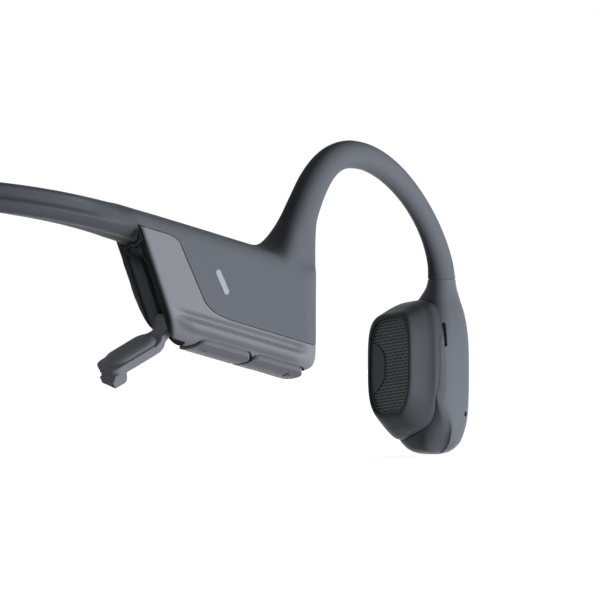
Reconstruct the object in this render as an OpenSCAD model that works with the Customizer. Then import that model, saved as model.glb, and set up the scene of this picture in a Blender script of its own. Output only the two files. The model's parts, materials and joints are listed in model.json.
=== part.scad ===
/* [Overall] */
// Distance between the centres of the two control pods
pod_spacing = 122; // [114:1:140]
// How far the rear of the neckband lies behind the pod centres
band_reach = 48; // [42:1:58]
// Height of the rear of the neckband above the pod centres
band_rise = 17; // [12:1:19]

/* [Pod] */
// Height of a pod, top edge to bottom edge
pod_h = 17.6; // [16:0.2:20]
// Thickness of a pod
pod_t = 10.6; // [10:0.1:11.4]
// Distance from the pod centre to the foremost point of its front edge
pod_front = 16.4; // [16:0.2:20]
// Distance from the pod centre to the slanted end face, at mid height
end_reach = 16.2; // [15:0.2:20]
// Lean of the end face from upright
end_slant = 40; // [36:1:44]
// Radius between the end face and the bottom edge
end_round = 8; // [6:0.5:10]
// Turn of the pod about the vertical, front end outwards
pod_yaw = 14; // [8:1:18]
// Dip of the front of the pod
pod_pitch = 14; // [8:1:18]
// Lean of the top edge of the pod outwards
pod_roll = 12; // [4:1:14]
// Lean of the front edge backwards
front_lean = 21; // [16:1:24]
// Radius of the lower front corner
corner_r = 4; // [3:0.1:5]
// Radius of the top edges
edge_r = 2.4; // [2:0.1:3]
// Radius of the front edges
front_r = 3.2; // [2.6:0.1:3.6]
// Wall of the pod shells
wall = 1.2; // [0.9:0.1:1.5]
// Depth of solid wall behind the end face
end_wall = 4.6; // [4.4:0.1:5.5]

/* [Seam] */
// Height of the seam beside the neckband
seam_high = 7; // [6:0.1:7.4]
// Height of the seam above the buttons
seam_low = -2.6; // [-3.2:0.1:-1.6]
// Place along the pod where the seam starts to slope down
seam_start = -15.4; // [-16.5:0.1:-14]

/* [Ear hook] */
// Height of the hook's arch above the pod centre
hook_rise = 22.2; // [20:0.2:26]
// Distance of the arch's crown in front of the pod centre
hook_forward = 20.4; // [18:0.2:23]
// How far the crown stands outside the pod centre
hook_bulge = 6.6; // [4:0.2:8]
// Width of the stem where it leaves the pod
stem_d = 5; // [4.4:0.1:5.6]
// Thickness of the hook between its crown and the transducer
hook_d = 3.5; // [3.2:0.1:4.4]
// Diameter of the spring wire in the hook
hook_wire_d = 1.1; // [0.8:0.1:1.3]

/* [Neckband] */
// Height of the neckband at the rear
band_h = 4.2; // [3.8:0.1:5.2]
// Thickness of the neckband at the rear
band_t = 3.8; // [3.4:0.1:4.6]
// Mean height of the neckband where it meets a pod
band_root_h = 3.6; // [3.4:0.1:4]
// Diameter of the spring wire in the neckband
band_wire_d = 1.2; // [0.8:0.1:1.3]
// Diameter of the signal cable in the neckband
cable_d = 0.9; // [0.6:0.1:1]

/* [Transducer] */
// Distance of the transducer in front of the pod centre
transducer_forward = 48.4; // [47:0.1:54]
// Distance of the transducer inside the pod centre
transducer_in = 5.8; // [4:0.1:9]
// Turn of the transducer about the vertical
transducer_yaw = 15; // [10:1:20]
// Height of the transducer up to the seam with the hook
transducer_h = 27.4; // [26:0.2:30]
// Height of that seam above the pod centre
neck_rise = 3.1; // [2:0.1:5]
// Width of the transducer
transducer_w = 15; // [14:0.1:17]
// Depth of the transducer shell
transducer_d = 7.6; // [7.2:0.1:9]
// Diameter of the neck
neck_d = 4.3; // [4:0.1:5]
// Wall of the transducer shells
shell_wall = 1; // [0.8:0.1:1.2]

/* [Speaker] */
// Width of the speaker face
face_w = 12.4; // [11.6:0.1:13.2]
// Height of the speaker face
face_h = 16.6; // [16:0.1:17.4]
// Height of the middle of the speaker face above the lowest point
face_z = 13.5; // [13.2:0.1:13.9]
// Height of the raised speaker housing
boss_h = 4.1; // [3.8:0.1:5]
// Width of the rim round the speaker grille
rim = 0.8; // [0.7:0.1:1]
// Thickness of the grille
grille_t = 0.5; // [0.4:0.1:0.6]
// Height of a grille slot
slot_h = 0.45; // [0.3:0.05:0.5]
// Number of grille slots
slot_count = 13; // [9:2:13]

/* [Charging port] */
// Width of the connector shell
usb_w = 8.9; // [8.6:0.1:9]
// Thickness of the connector shell
usb_t = 3.2; // [3:0.1:3.3]
// Length of the connector shell
usb_l = 5.4; // [5:0.1:5.6]
// Wall of the connector shell
usb_wall = 0.3; // [0.2:0.05:0.4]
// Distance from the end face to the connector's mouth
port_depth = 2.3; // [2.2:0.1:2.5]
// Height of the port's middle along the end face
port_up = -2; // [-2.4:0.1:-1.8]

/* [Port cover] */
// Length of the cover plate
plate_l = 10.4; // [10.2:0.1:10.8]
// Width of the cover plate
plate_w = 6; // [5.6:0.1:6.2]
// Thickness of the cover plate
plate_t = 1.4; // [1.2:0.1:1.5]
// Length of the plug that fills the port
plug_l = 8.2; // [7.8:0.1:8.4]
// Width of the plug
plug_w = 3.4; // [3:0.1:3.6]
// Height of the plug
plug_h = 0.7; // [0.5:0.05:0.75]
// Radius of the hinge barrel
barrel_r = 1; // [0.9:0.05:1.1]
// Length of the hinge barrel
barrel_l = 5.6; // [5:0.1:5.8]
// Width of the strap between barrel and plate
strap_w = 3.4; // [3:0.1:3.6]
// How far the cover stands open
cover_open = 94; // [70:1:95]

/* [Buttons] */
// Length of a volume button
key_l = 9.6; // [9:0.1:10]
// Width of a volume button
key_w = 5; // [4.6:0.1:5.2]
// How far a button stands out of the pod
key_proud = 0.4; // [0.3:0.05:0.6]
// Travel of a button
key_travel = 0.4; // [0.3:0.05:0.5]
// Place of the line between the two buttons along the pod
key_middle = 4.2; // [3.9:0.1:4.5]
// Turn of the buttons round the pod's bottom, towards its outer side
key_lean = 25; // [10:1:28]
// Slant of the buttons' ends
key_slant = 1; // [0:0.1:1.4]
// Length of the multifunction button
multi_l = 7; // [6:0.1:8]
// Width of the multifunction button
multi_w = 3; // [2.6:0.1:3.4]

/* [Electronics] */
// Thickness of the circuit boards
board_t = 0.8; // [0.6:0.1:1]
// Thickness of the battery cell
cell_t = 4.2; // [3.6:0.1:4.4]
// Length of the battery cell
cell_l = 17.5; // [15:0.5:18]
// Height of the battery cell
cell_h = 8; // [7:0.1:8.4]

/* [Fits] */
// Clearance round a part that moves
slide_gap = 0.15; // [0.1:0.01:0.2]
// Clearance round the hinge barrel
barrel_gap = 0.06; // [0.04:0.01:0.1]
// Clearance round a part that is fixed inside
seat_gap = 0.1; // [0.05:0.01:0.15]

/* [Hidden] */

$fn = 32;
// Points round half of a loft's ring
ring_n = 6;
// Overlap of cutting shapes past the face they cut
past = 1;
// Extent of a cutting shape that reaches past the whole part
far = 80;

half_h = pod_h / 2;
half_t = pod_t / 2;
half_w = transducer_w / 2;

// Place of the neck in the transducer
neck_out = 3.6;
neck_forward = 3.5;
neck_r = neck_d / 2;

pod_z = transducer_h - neck_rise;
front_reach = transducer_forward + transducer_d * cos(transducer_yaw) + 1;
pod_y = (band_reach + band_t / 2 - front_reach) / 2;
pod_pos = [pod_spacing / 2, pod_y, pod_z];
transducer_pos = [pod_pos.x - transducer_in, pod_y + transducer_forward, 0];

function lerp(a, b, t) = a + (b - a) * t;
function unit(v) = v / norm(v);
function ramp(t, a, b) = min(1, max(0, (t - a) / (b - a)));
function turn_x(p, a) = [p.x, p.y * cos(a) - p.z * sin(a), p.y * sin(a) + p.z * cos(a)];
function turn_y(p, a) = [p.x * cos(a) + p.z * sin(a), p.y, p.z * cos(a) - p.x * sin(a)];
function turn_z(p, a) = [p.x * cos(a) - p.y * sin(a), p.x * sin(a) + p.y * cos(a), p.z];
function bezier(p, t) =
    p[0] * pow(1 - t, 3) + p[1] * 3 * t * pow(1 - t, 2) + p[2] * 3 * t * t * (1 - t) + p[3] * pow(t, 3);
function bezier_way(p, t) =
    unit((p[1] - p[0]) * pow(1 - t, 2) + (p[2] - p[1]) * 2 * t * (1 - t) + (p[3] - p[2]) * t * t);
function middle(ring) = [for (k = [0 : 2]) [for (p = ring) p[k]] * [for (p = ring) 1] / len(ring)];

// Right pod: x outwards, y forwards, z up
function pod_turn(p) = turn_z(turn_x(turn_y(p, pod_roll), -pod_pitch), -pod_yaw);
function pod_point(p) = pod_pos + pod_turn(p);
function transducer_point(p) = transducer_pos + turn_z(p, -transducer_yaw);

module in_pod() {
    translate(pod_pos) rotate([0, 0, -pod_yaw]) rotate([-pod_pitch, 0, 0]) {
        rotate([0, pod_roll, 0]) children();
    }
}

// On the end face: x outwards, y up along the face, z out of the face
module on_end() {
    in_pod() translate([0, -end_reach, 0]) rotate([90 + end_slant, 0, 0]) children();
}

module in_transducer() {
    translate(transducer_pos) rotate([0, 0, -transducer_yaw]) children();
}

module left() {
    mirror([1, 0, 0]) children();
}

// Extrudes a side view, drawn in y and z, to both sides of x = 0
module across(width) {
    rotate([90, 0, 90]) linear_extrude(width, center = true) children();
}

// Slot shape along y, made of exact arcs
module stadium(w, l) {
    square([w, l - w], center = true);
    for (s = [-1, 1]) translate([0, s * (l - w) / 2]) circle(w / 2);
}

// Twice the area of a ring, as a vector along its normal
function ring_normal(r) =
    let (last = len(r) - 1, turns = [for (i = [0 : last]) cross(r[i], r[i == last ? 0 : i + 1])])
    [for (k = [0 : 2]) [for (c = turns) c[k]] * [for (c = turns) 1]];

// Solid through a list of rings that all have the same number of points
module loft(rings) {
    n = len(rings[0]);
    m = len(rings);
    points = [for (r = rings) each r, middle(rings[0]), middle(rings[m - 1])];
    sides = [
        for (i = [0 : m - 2], j = [0 : n - 1])
            let (a = i * n + j, b = i * n + (j + 1) % n)
            each [[a, b, b + n], [a, b + n, a + n]]
    ];
    ends = [
        for (j = [0 : n - 1])
            let (k = (j + 1) % n)
            each [[k, j, m * n], [(m - 1) * n + j, (m - 1) * n + k, m * n + 1]]
    ];
    faces = concat(sides, ends);
    // Faces run clockwise seen from outside, whichever way the rings turn
    turned = ring_normal(rings[0]) * (middle(rings[1]) - middle(rings[0])) > 0;
    polyhedron(points, turned ? [for (f = faces) [f[0], f[2], f[1]]] : faces, convexity = 10);
}

// Ring of a bar: flat sides, and round ends of depth low and high along the bar's height
function bar_ring(c, side, rise, half_side, height, low, high) =
    let (
        lo = min(low, 0.48 * height),
        hi = min(high, 0.48 * height),
        upper = [for (k = [0 : ring_n]) let (a = 180 * k / ring_n)
            [half_side * cos(a), height / 2 - hi + hi * sin(a)]],
        lower = [for (k = [0 : ring_n]) let (a = 180 + 180 * k / ring_n)
            [half_side * cos(a), lo - height / 2 + lo * sin(a)]]
    )
    [for (q = concat(upper, lower)) c + side * q.x + rise * q.y];

// Rings of the stem, which grows out of the pod's flat sides.
// Each rung joins the front edge to the rear edge: y, z, y, z,
// then the shift outwards and the share of the pod's thickness.
stem_rungs = [
    [pod_front - 2.4, 8.4 - half_h, -1.4, half_h - 0.6, 0, 0.94],
    [pod_front - 2.8, 10 - half_h, 1, half_h + 0.1, 0, 0.92],
    [pod_front - 3.2, 12 - half_h, 2.7, half_h + 0.9, -0.1, 0.87],
    [pod_front - 3.7, 14.4 - half_h, 3.8, half_h + 2, -0.3, 0.78],
    [pod_front - 4.4, 17.2 - half_h, 4.7, half_h + 3.4, -0.6, 0.66],
    [pod_front - 5.2, 20 - half_h, 5.4, half_h + 5, -0.9, 0.56]
];
stem_round = 2.4;

function stem_ring(r) =
    let (
        low = [r[4], r[0], r[1]],
        high = [r[4], r[2], r[3]],
        rise = high - low
    )
    bar_ring((low + high) / 2, [1, 0, 0], unit(rise), half_t * r[5], norm(rise), stem_round, stem_round);

// Centreline of the hook: stem to crown, then crown to neck
hook_root = pod_point([-1.2, 8.3, half_h + 6.3]);
hook_crown = pod_pos + [hook_bulge, hook_forward, hook_rise];
hook_neck = transducer_point([neck_out, neck_forward, transducer_h]);
crown_way = [0, 1, 0];
hook_rear = [hook_root, hook_root + 5 * pod_turn([0, 0.1, 1]), hook_crown - 7 * crown_way, hook_crown];
hook_front = [hook_crown, hook_crown + 10 * crown_way, hook_neck + [0.6, -1, 8], hook_neck];
crown_d = (stem_d + hook_d) / 2;

// Places along the hook run from 0 at the root through 1 at the crown to 2 at the neck
function hook_at(t) = t < 1 ? bezier(hook_rear, t) : bezier(hook_front, t - 1);
function hook_way(t) =
    t < 1 ? bezier_way(hook_rear, t)
    : t < 1.98 ? bezier_way(hook_front, t - 1)
    : [0, 0, -1];
function hook_side(t) =
    let (w = hook_way(t), s = unit(lerp(pod_turn([1, 0, 0]), turn_z([1, 0, 0], -transducer_yaw), t / 2)))
    unit(s - w * (s * w));
function hook_thickness(t) =
    t < 1 ? lerp(stem_d, crown_d, t)
    : lerp(lerp(crown_d, hook_d, ramp(t, 1, 1.5)), neck_d, pow(ramp(t, 1.6, 2), 2));
function hook_ring(t, d) =
    let (s = hook_side(t))
    bar_ring(hook_at(t), s, cross(s, hook_way(t)), d / 2, d, d / 2, d / 2);

hook_steps = [for (k = [0 : 22]) 2 * k / 22];

module hook_bore() {
    bore_d = hook_wire_d + cable_d + 3 * seat_gap;
    loft([for (t = concat([-1], hook_steps, [2.5])) hook_core_ring(t, bore_d, 0)]);
}

// Ring of a wire or bore in the hook, carried straight on past both ends
function hook_core_ring(t, d, shift) =
    let (
        u = max(0, min(2, t)),
        s = hook_side(u),
        w = hook_way(u),
        c = hook_at(u) + w * (t - u) * 9 + s * shift
    )
    [for (k = [0 : 7]) c + s * (d / 2 * cos(45 * k)) + cross(s, w) * (d / 2 * sin(45 * k))];

// Rear limit of a pod's hollow at a height
function cavity_rear(z) = end_y(z) + end_wall / cos(end_slant);

// Side view of a pod without its hook, moved in by a wall and an end wall
module pod_side(inset, end_inset) {
    arc_r = end_round - end_inset;
    arc_z = arc_r + inset - half_h;
    arc_y = (end_round - sin(end_slant) * arc_z) / cos(end_slant) - end_reach;
    top = half_h - inset;
    corner_z = corner_r - half_h;
    front = pod_front - corner_r;
    lean = tan(front_lean);
    polygon(concat(
        [[end_y(top) + end_inset / cos(end_slant), top]],
        [for (k = [0 : 8]) let (a = lerp(180 + end_slant, 270, k / 8))
            [arc_y + arc_r * cos(a), arc_z + arc_r * sin(a)]],
        [for (k = [0 : 6]) let (a = lerp(270, 360 + front_lean, k / 6))
            [front + (corner_r - inset) * cos(a), corner_z + (corner_r - inset) * sin(a)]],
        [[pod_front - inset - lean * (top - corner_z), top]]
    ));
}

// Front view of a pod: round bottom, eased top edges
module pod_section(inset) {
    r = half_t - inset;
    e = edge_r - inset;
    translate([0, half_t - half_h]) circle(r);
    translate([-r, half_t - half_h]) square([2 * r, pod_h - half_t - edge_r]);
    translate([-r + e, 0]) square([2 * (r - e), half_h - inset]);
    for (s = [-1, 1]) translate([s * (r - e), half_h - edge_r]) circle(e);
}

// View of a pod along its leaning front edge, with the foremost point at the origin
module pod_plan(inset) {
    r = half_t - inset;
    e = front_r - inset;
    translate([-r, -far]) square([2 * r, far - front_r]);
    translate([e - r, -far]) square([2 * (r - e), far - inset]);
    for (s = [-1, 1]) translate([s * (r - e), -front_r]) circle(e);
}

module pod_form(inset, end_inset) {
    intersection() {
        across(pod_t) pod_side(inset, end_inset);
        translate([0, far / 2, 0]) rotate([90, 0, 0]) linear_extrude(far) pod_section(inset);
        translate([0, pod_front, corner_r - half_h]) rotate([front_lean, 0, 0]) {
            linear_extrude(far, center = true) pod_plan(inset);
        }
    }
}

// Side view of the lower shell's share of the pod
module below_seam() {
    slope_l = seam_high - seam_low;
    polygon([
        [-far, seam_high], [seam_start - 1, seam_high], [seam_start + 0.5, seam_high - 0.4],
        [seam_start + 1.6, seam_high - 1.3], [seam_start + slope_l - 2.2, seam_low + 2.5],
        [seam_start + slope_l - 0.6, seam_low + 1.15], [seam_start + slope_l + 1.4, seam_low + 0.35],
        [seam_start + slope_l + 4.2, seam_low],
        [far, seam_low - 0.3], [far, -far], [-far, -far]
    ]);
}

// Soft cover of a pod, which runs on into the ear hook
module cover() {
    difference() {
        union() {
            in_pod() difference() {
                pod_form(0, 0);
                across(far) below_seam();
            }
            loft(concat(
                [for (r = stem_rungs) [for (p = stem_ring(r)) pod_point(p)]],
                [for (t = hook_steps) hook_ring(t, hook_thickness(t))]
            ));
        }
        in_pod() pod_form(wall, end_wall);
        hook_bore();
        band_bore();
    }
}

// Hard lower shell of a pod
module housing() {
    difference() {
        in_pod() intersection() {
            pod_form(0, 0);
            across(far) below_seam();
        }
        in_pod() pod_form(wall, end_wall);
        band_bore();
    }
}

module right_cover() {
    color("#45484d") difference() {
        cover();
        in_pod() led_slit(0);
    }
}

module left_cover() {
    color("#45484d") left() cover();
}

module right_housing() {
    color("#54575c") difference() {
        housing();
        port_cuts();
        key_cuts();
    }
}

module left_housing() {
    color("#54575c") left() housing();
}

// Neckband
band_mid_z = half_h - 0.2 - band_root_h / 2;
function end_y(z) = -end_reach - z * tan(end_slant);
band_root = pod_point([0, end_y(band_mid_z), band_mid_z]);
band_rear = [0, pod_y - band_reach, pod_z + band_rise];
band_curve = [
    band_root,
    band_root + 18 * pod_turn([0, -1, 0]),
    band_rear + [32, 0, 0],
    band_rear
];
band_steps = 14;
// How far the wire and the cable reach into a pod
band_tail = 8.3;

function band_way(t) = bezier_way(band_curve, t);
function band_up(t) =
    let (w = band_way(t), u = lerp(pod_turn([0, 0, 1]), [0, 0, 1], ramp(t, 0, 0.6)))
    unit(u - w * (u * w));
function band_side(t) = cross(band_up(t), band_way(t));

// Section of the band: at the pod its underside rises towards the outer face
function band_section(t) =
    let (
        half_side = lerp(half_t - 0.2, band_t / 2, pow(ramp(t, 0, 0.45), 0.7)),
        half_rise = lerp(band_root_h, band_h, ramp(t, 0, 0.3)) / 2,
        bevel = 0.95 * pow(1 - ramp(t, 0, 0.5), 1.5),
        lower = lerp(1.35, 1, ramp(t, 0, 0.6))
    )
    [for (k = [0 : 15]) let (
        a = 22.5 * k + 11.25,
        x = half_side * sign(cos(a)) * pow(abs(cos(a)), 0.75),
        z = half_rise * sign(sin(a)) * pow(abs(sin(a)), 0.75)
    ) [x, z < 0 ? z * lower * (1 - bevel * x / half_side) : z]];

function band_ring(t) =
    t == 0
    ? [for (q = band_section(0)) pod_point([q.x, end_y(band_mid_z + q.y), band_mid_z + q.y])]
    : [for (q = band_section(t)) bezier(band_curve, t) + band_side(t) * q.x + band_up(t) * q.y];

// Ring of the wire, the cable or their bore, carried straight on into the pod
function band_bore_ring(t, w, h, shift = 0) =
    let (
        u = max(0, t),
        c = bezier(band_curve, u) + band_way(u) * (t - u) * band_tail + band_side(u) * shift,
        across_way = band_side(u) * w / 2,
        up_way = band_up(u) * h / 2
    )
    [for (k = [0 : 7]) let (a = 45 * k + 22.5) c + across_way * cos(a) + up_way * sin(a)];

function mirrored(ring) = [for (p = ring) [-p.x, p.y, p.z]];

// Right half from the pod to the middle, then the left half back to its pod
module band_form() {
    right = [for (k = [0 : band_steps]) k / band_steps];
    loft(concat(
        [for (t = right) band_ring(t)],
        [for (k = [band_steps - 1 : -1 : 0]) mirrored(band_ring(right[k]))]
    ));
}

module band_core(width, height, shift, tail) {
    steps = concat([-tail], [for (k = [0 : band_steps]) k / band_steps]);
    n = len(steps);
    loft(concat(
        [for (t = steps) band_bore_ring(t, width, height, shift)],
        [for (k = [n - 2 : -1 : 0]) mirrored(band_bore_ring(steps[k], width, height, shift))]
    ));
}

// The wire and the cable lie side by side
wire_shift = -(cable_d / 2 + 1.5 * seat_gap);
cable_shift = band_wire_d / 2 + 1.5 * seat_gap;

module band_bore() {
    height = band_wire_d + 2 * seat_gap;
    band_core((height + cable_d + 3 * seat_gap) * 1.1, height * 1.1, 0, 1 + past / band_tail);
}

module neckband_sleeve() {
    color("#3f4247") difference() {
        band_form();
        band_bore();
    }
}

module neckband_spring_wire() {
    color("#b9bcc0") band_core(band_wire_d, band_wire_d, wire_shift, 1);
}

module neckband_cable() {
    color("#202225") band_core(cable_d, cable_d, cable_shift, 1);
}

module right_hook_wire() {
    color("#b9bcc0") hook_wire();
}

module left_hook_wire() {
    color("#b9bcc0") left() hook_wire();
}

module right_hook_cable() {
    color("#202225") hook_cable();
}

module left_hook_cable() {
    color("#202225") left() hook_cable();
}

// Ends of the hook's wire and cable, inside the pod and inside the transducer
hook_core_steps = concat([-0.95], hook_steps, [2.45]);

module hook_wire() {
    loft([for (t = hook_core_steps) hook_core_ring(t, hook_wire_d, -cable_d / 2 - seat_gap / 2)]);
}

module hook_cable() {
    loft([for (t = hook_core_steps) hook_core_ring(t, cable_d, hook_wire_d / 2 + seat_gap / 2)]);
}

// Saddle that grips the neckband's wire and cable inside the end face
clamp_l = 1.4;
clamp_w = 3.6;
clamp_below = 0.8;
clamp_above = 0.3;

module wire_clamp() {
    bore_l = clamp_l + 2 * past;
    in_pod() translate([0, end_y(band_mid_z) + band_tail - clamp_l, band_mid_z]) difference() {
        translate([-clamp_w / 2, 0, -clamp_below]) cube([clamp_w, clamp_l, clamp_below + clamp_above]);
        for (groove = [[wire_shift, band_wire_d], [cable_shift, cable_d]]) {
            translate([groove[0], bore_l - past, 0]) rotate([90, 0, 0]) {
                cylinder(d = groove[1] + seat_gap, h = bore_l);
            }
        }
    }
}

module right_wire_clamp() {
    color("#8d9094") wire_clamp();
}

module left_wire_clamp() {
    color("#8d9094") left() wire_clamp();
}

// Charging port, drawn on the end face with z out of it
plate_foot = port_up - 5.4;
barrel_up = plate_foot - 2.1;
barrel_in = 2;
notch_r = 2.3;
// Width of the step round the connector's mouth
mouth_step = 0.3;

module port_cuts() {
    pocket_w = plate_w + 2 * slide_gap;
    pocket_top = plate_foot + plate_l + slide_gap;
    seat_l = end_wall + 2 * past - port_depth;
    seat_t = usb_t + 2 * seat_gap;
    seat_w = usb_w + 2 * seat_gap;
    on_end() {
        translate([-pocket_w / 2, pocket_top - far, -plate_t - slide_gap]) cube([pocket_w, far, far]);
        translate([0, port_up, -port_depth]) linear_extrude(port_depth) {
            stadium(seat_t + 2 * mouth_step, seat_w + 2 * mouth_step);
        }
        translate([0, port_up, -port_depth - seat_l]) linear_extrude(seat_l + seat_gap) {
            stadium(seat_t, seat_w);
        }
        barrel_cut(barrel_r + barrel_gap, barrel_l + 2 * slide_gap);
        barrel_cut(notch_r, strap_w + 4 * slide_gap);
    }
}

module barrel_cut(r, l) {
    translate([-l / 2, barrel_up, -barrel_in]) rotate([0, 90, 0]) cylinder(r = r, h = l);
}

// Soft flap over the port: barrel, strap, plate, plug and finger lip
lip_l = 1.7;
lip_h = 1.5;
lip_w = 3.4;
lip_out = 0.9;

// Points of the strap, which bends from the plate down to the barrel
strap_r = 6.5;
strap_t = plate_t * 0.85;
strap_start = plate_foot + 1.8;
function strap_point(r, level, a) = [strap_start - r * sin(a), level - r * (1 - cos(a))];

module closed_port_cover() {
    barrel_cut(barrel_r, barrel_l);
    across(strap_w) polygon(concat(
        [for (k = [0 : 5]) strap_point(strap_r, 0, 9 * k)],
        [for (k = [5 : -1 : 0]) strap_point(strap_r - strap_t, -strap_t, 9 * k)]
    ));
    translate([0, plate_foot + plate_l / 2, -plate_t]) linear_extrude(plate_t) bar(plate_w, plate_l, 1.4);
    translate([0, port_up, -plate_t - plug_h]) linear_extrude(plug_h + past / 2) stadium(plug_w, plug_l);
    translate([lip_out - lip_w / 2, plate_foot + plate_l - lip_l, -plate_t / 2]) {
        cube([lip_w, lip_l, lip_h + plate_t / 2]);
    }
}

// Rectangle with exact round corners
module bar(w, l, r) {
    square([w - 2 * r, l], center = true);
    square([w, l - 2 * r], center = true);
    for (x = [-1, 1], y = [-1, 1]) translate([x * (w / 2 - r), y * (l / 2 - r)]) circle(r);
}

module port_cover() {
    color("#2b2d30") on_end() {
        translate([0, barrel_up, -barrel_in]) rotate([cover_open, 0, 0]) {
            translate([0, -barrel_up, barrel_in]) closed_port_cover();
        }
    }
}

tongue_t = 0.7;
tongue_w = 6;
contact_t = 0.1;
contact_w = 0.26;
contact_pitch = 0.5;
contact_count = 12;

module on_port(depth) {
    on_end() translate([0, port_up, -port_depth - depth]) children();
}

module usb_shell() {
    color("#c3c6ca") on_port(usb_l) difference() {
        linear_extrude(usb_l) stadium(usb_t, usb_w);
        translate([0, 0, usb_wall]) linear_extrude(usb_l) {
            stadium(usb_t - 2 * usb_wall, usb_w - 2 * usb_wall);
        }
    }
}

module usb_tongue() {
    color("#1d1e20") on_port(usb_l) translate([-tongue_t / 2, -tongue_w / 2, usb_wall]) {
        cube([tongue_t, tongue_w, usb_l - usb_wall - 1]);
    }
}

module usb_contacts() {
    length = usb_l - usb_wall - 2;
    color("#d8b560") on_port(usb_l) for (s = [0, 1], k = [0 : contact_count - 1]) {
        y = (k - (contact_count - 1) / 2) * contact_pitch - contact_w / 2;
        translate([s * tongue_t - tongue_t / 2 - (1 - s) * contact_t, y, usb_wall + 0.4]) {
            cube([contact_t, contact_w, length]);
        }
    }
}

// Buttons under the pod
key_r = 1.1;
key_gap = 0.5;
key_depth = 1.9;
seal_t = 0.5;
seal_w = 5.2;
seal_play = 0.05;
seal_z = key_depth - half_h + key_travel + seal_play;
seal_rear = cavity_rear(seal_z) + seal_w / 2 * sin(key_lean) * tan(end_slant) + 2 * seat_gap;
seal_l = pod_front - 3.2 - seal_rear;
switch_h = 1.1;
switch_w = 2.6;
switch_z = seal_z + seal_t;
switch_board_z = switch_z + switch_h;

function key_y(s) = key_middle + s * (key_l + key_gap) / 2;

// The buttons and what lies behind them are turned about the middle of the round bottom
round_z = half_t - half_h;

module in_keys() {
    in_pod() translate([0, 0, round_z]) rotate([0, -key_lean, 0]) translate([0, 0, -round_z]) children();
}

module key_shape(grow) {
    hull() for (x = [-1, 1], y = [-1, 1]) {
        shear = x * key_slant / 2;
        translate([x * (key_w / 2 - key_r), y * (key_l / 2 - key_r) + shear]) circle(key_r + grow);
    }
}

module key_cuts() {
    for (s = [-1, 1]) in_keys() translate([0, key_y(s), -half_h - past * 3]) {
        linear_extrude(key_depth + past * 3 + key_travel + slide_gap) key_shape(slide_gap);
    }
}

// A button's face is round across, like the bottom of the pod
module key(s) {
    in_keys() intersection() {
        translate([0, key_y(s), -half_h - key_proud]) linear_extrude(key_depth + key_proud) key_shape(0);
        translate([0, far / 2, round_z]) rotate([90, 0, 0]) {
            cylinder(r = half_t + key_proud, h = far);
        }
    }
}

module volume_down_button() {
    color("#5a5d62") key(-1);
}

module volume_up_button() {
    color("#5a5d62") key(1);
}

module button_seal() {
    color("#2f3134") in_keys() translate([-seal_w / 2, seal_rear, seal_z]) cube([seal_w, seal_l, seal_t]);
}

module key_switch(s) {
    in_keys() translate([0, key_y(s), switch_z]) {
        translate([-switch_w / 2, -switch_w / 2, 0.3]) cube([switch_w, switch_w, switch_h - 0.3]);
        cylinder(d = switch_w * 0.6, h = 0.4);
    }
}

module volume_down_switch() {
    color("#c9c9c6") key_switch(-1);
}

module volume_up_switch() {
    color("#c9c9c6") key_switch(1);
}

module switch_board() {
    color("#1f4d3a") in_keys() translate([-seal_w / 2, seal_rear, switch_board_z]) {
        cube([seal_w, seal_l, board_t]);
    }
}

// Main board stands upright in the right pod
board_z = round_z + (switch_board_z + board_t - round_z) / cos(key_lean) + board_t / 2 * tan(key_lean) + 0.02;
board_rear = cavity_rear(board_z) + 1.4;
board_front = pod_front - 6.2;
board_top = half_h - 2.8;

module main_board() {
    color("#1f4d3a") in_pod() translate([-board_t / 2, board_rear, board_z]) {
        cube([board_t, board_front - board_rear, board_top - board_z]);
    }
}

module_t = 1.4;

module radio_module() {
    color("#b4b7ba") in_pod() translate([-board_t / 2 - module_t, 0, board_z + 0.6]) cube([module_t, 8, 6]);
}

led_y = -5.2;
led_z = 2.5;
led_l = 4.4;
led_w = 0.9;
led_turn = 45;
led_t = 0.8;

module led_slit(inner) {
    translate([inner, led_y, led_z]) rotate([-led_turn, 0, 0]) rotate([90, 0, 90]) {
        linear_extrude(half_t - inner) rotate(90) stadium(led_w, led_l);
    }
}

module led_emitter() {
    color("#f2f1e4") in_pod() translate([board_t / 2, led_y - 0.6, led_z - 0.5]) cube([led_t, 1.6, 1]);
}

module led_window() {
    color("#c6d2e0") in_pod() led_slit(board_t / 2 + led_t);
}

// Battery in the left pod
cell_z = board_z + board_t;
cell_rear = cavity_rear(cell_z) + 4 * seat_gap;
cell_board_l = 14.8;

module battery_cell() {
    color("#9fa3a8") left() in_pod() translate([-cell_t / 2, cell_rear, cell_z]) {
        cube([cell_t, cell_l, cell_h]);
    }
}

module battery_board() {
    color("#1f4d3a") left() in_pod() translate([-seal_w / 2, seal_rear, board_z]) {
        cube([seal_w, cell_board_l, board_t]);
    }
}

// Transducers: x outwards, y forwards, z up from the lowest point
half_d = transducer_d / 2;

// Levels of the shell: height, shift outwards, half width, half depth, squareness
shell_levels = [
    [0, 0, half_w - 6, half_d - 3, 2.2],
    [0.5, 0, half_w - 3.6, half_d - 1.6, 2.4],
    [2.4, 0, half_w - 1.4, half_d - 0.5, 2.8],
    [5.5, 0, half_w - 0.4, half_d, 3.2],
    [10, 0, half_w, half_d, 3.4],
    [transducer_h - 12, 0.1, half_w - 0.1, half_d, 3.4],
    [transducer_h - 8.4, 0.7, half_w - 0.9, half_d - 0.1, 3.2],
    [transducer_h - 5.4, 1.7, half_w - 2.4, half_d - 0.4, 2.9],
    [transducer_h - 3, 2.8, half_w - 4.2, half_d - 1, 2.5],
    [transducer_h - 1.3, 3.4, half_w - 5.1, half_d - 1.5, 2.2],
    [transducer_h, neck_out, neck_r, neck_r, 2]
];

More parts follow.
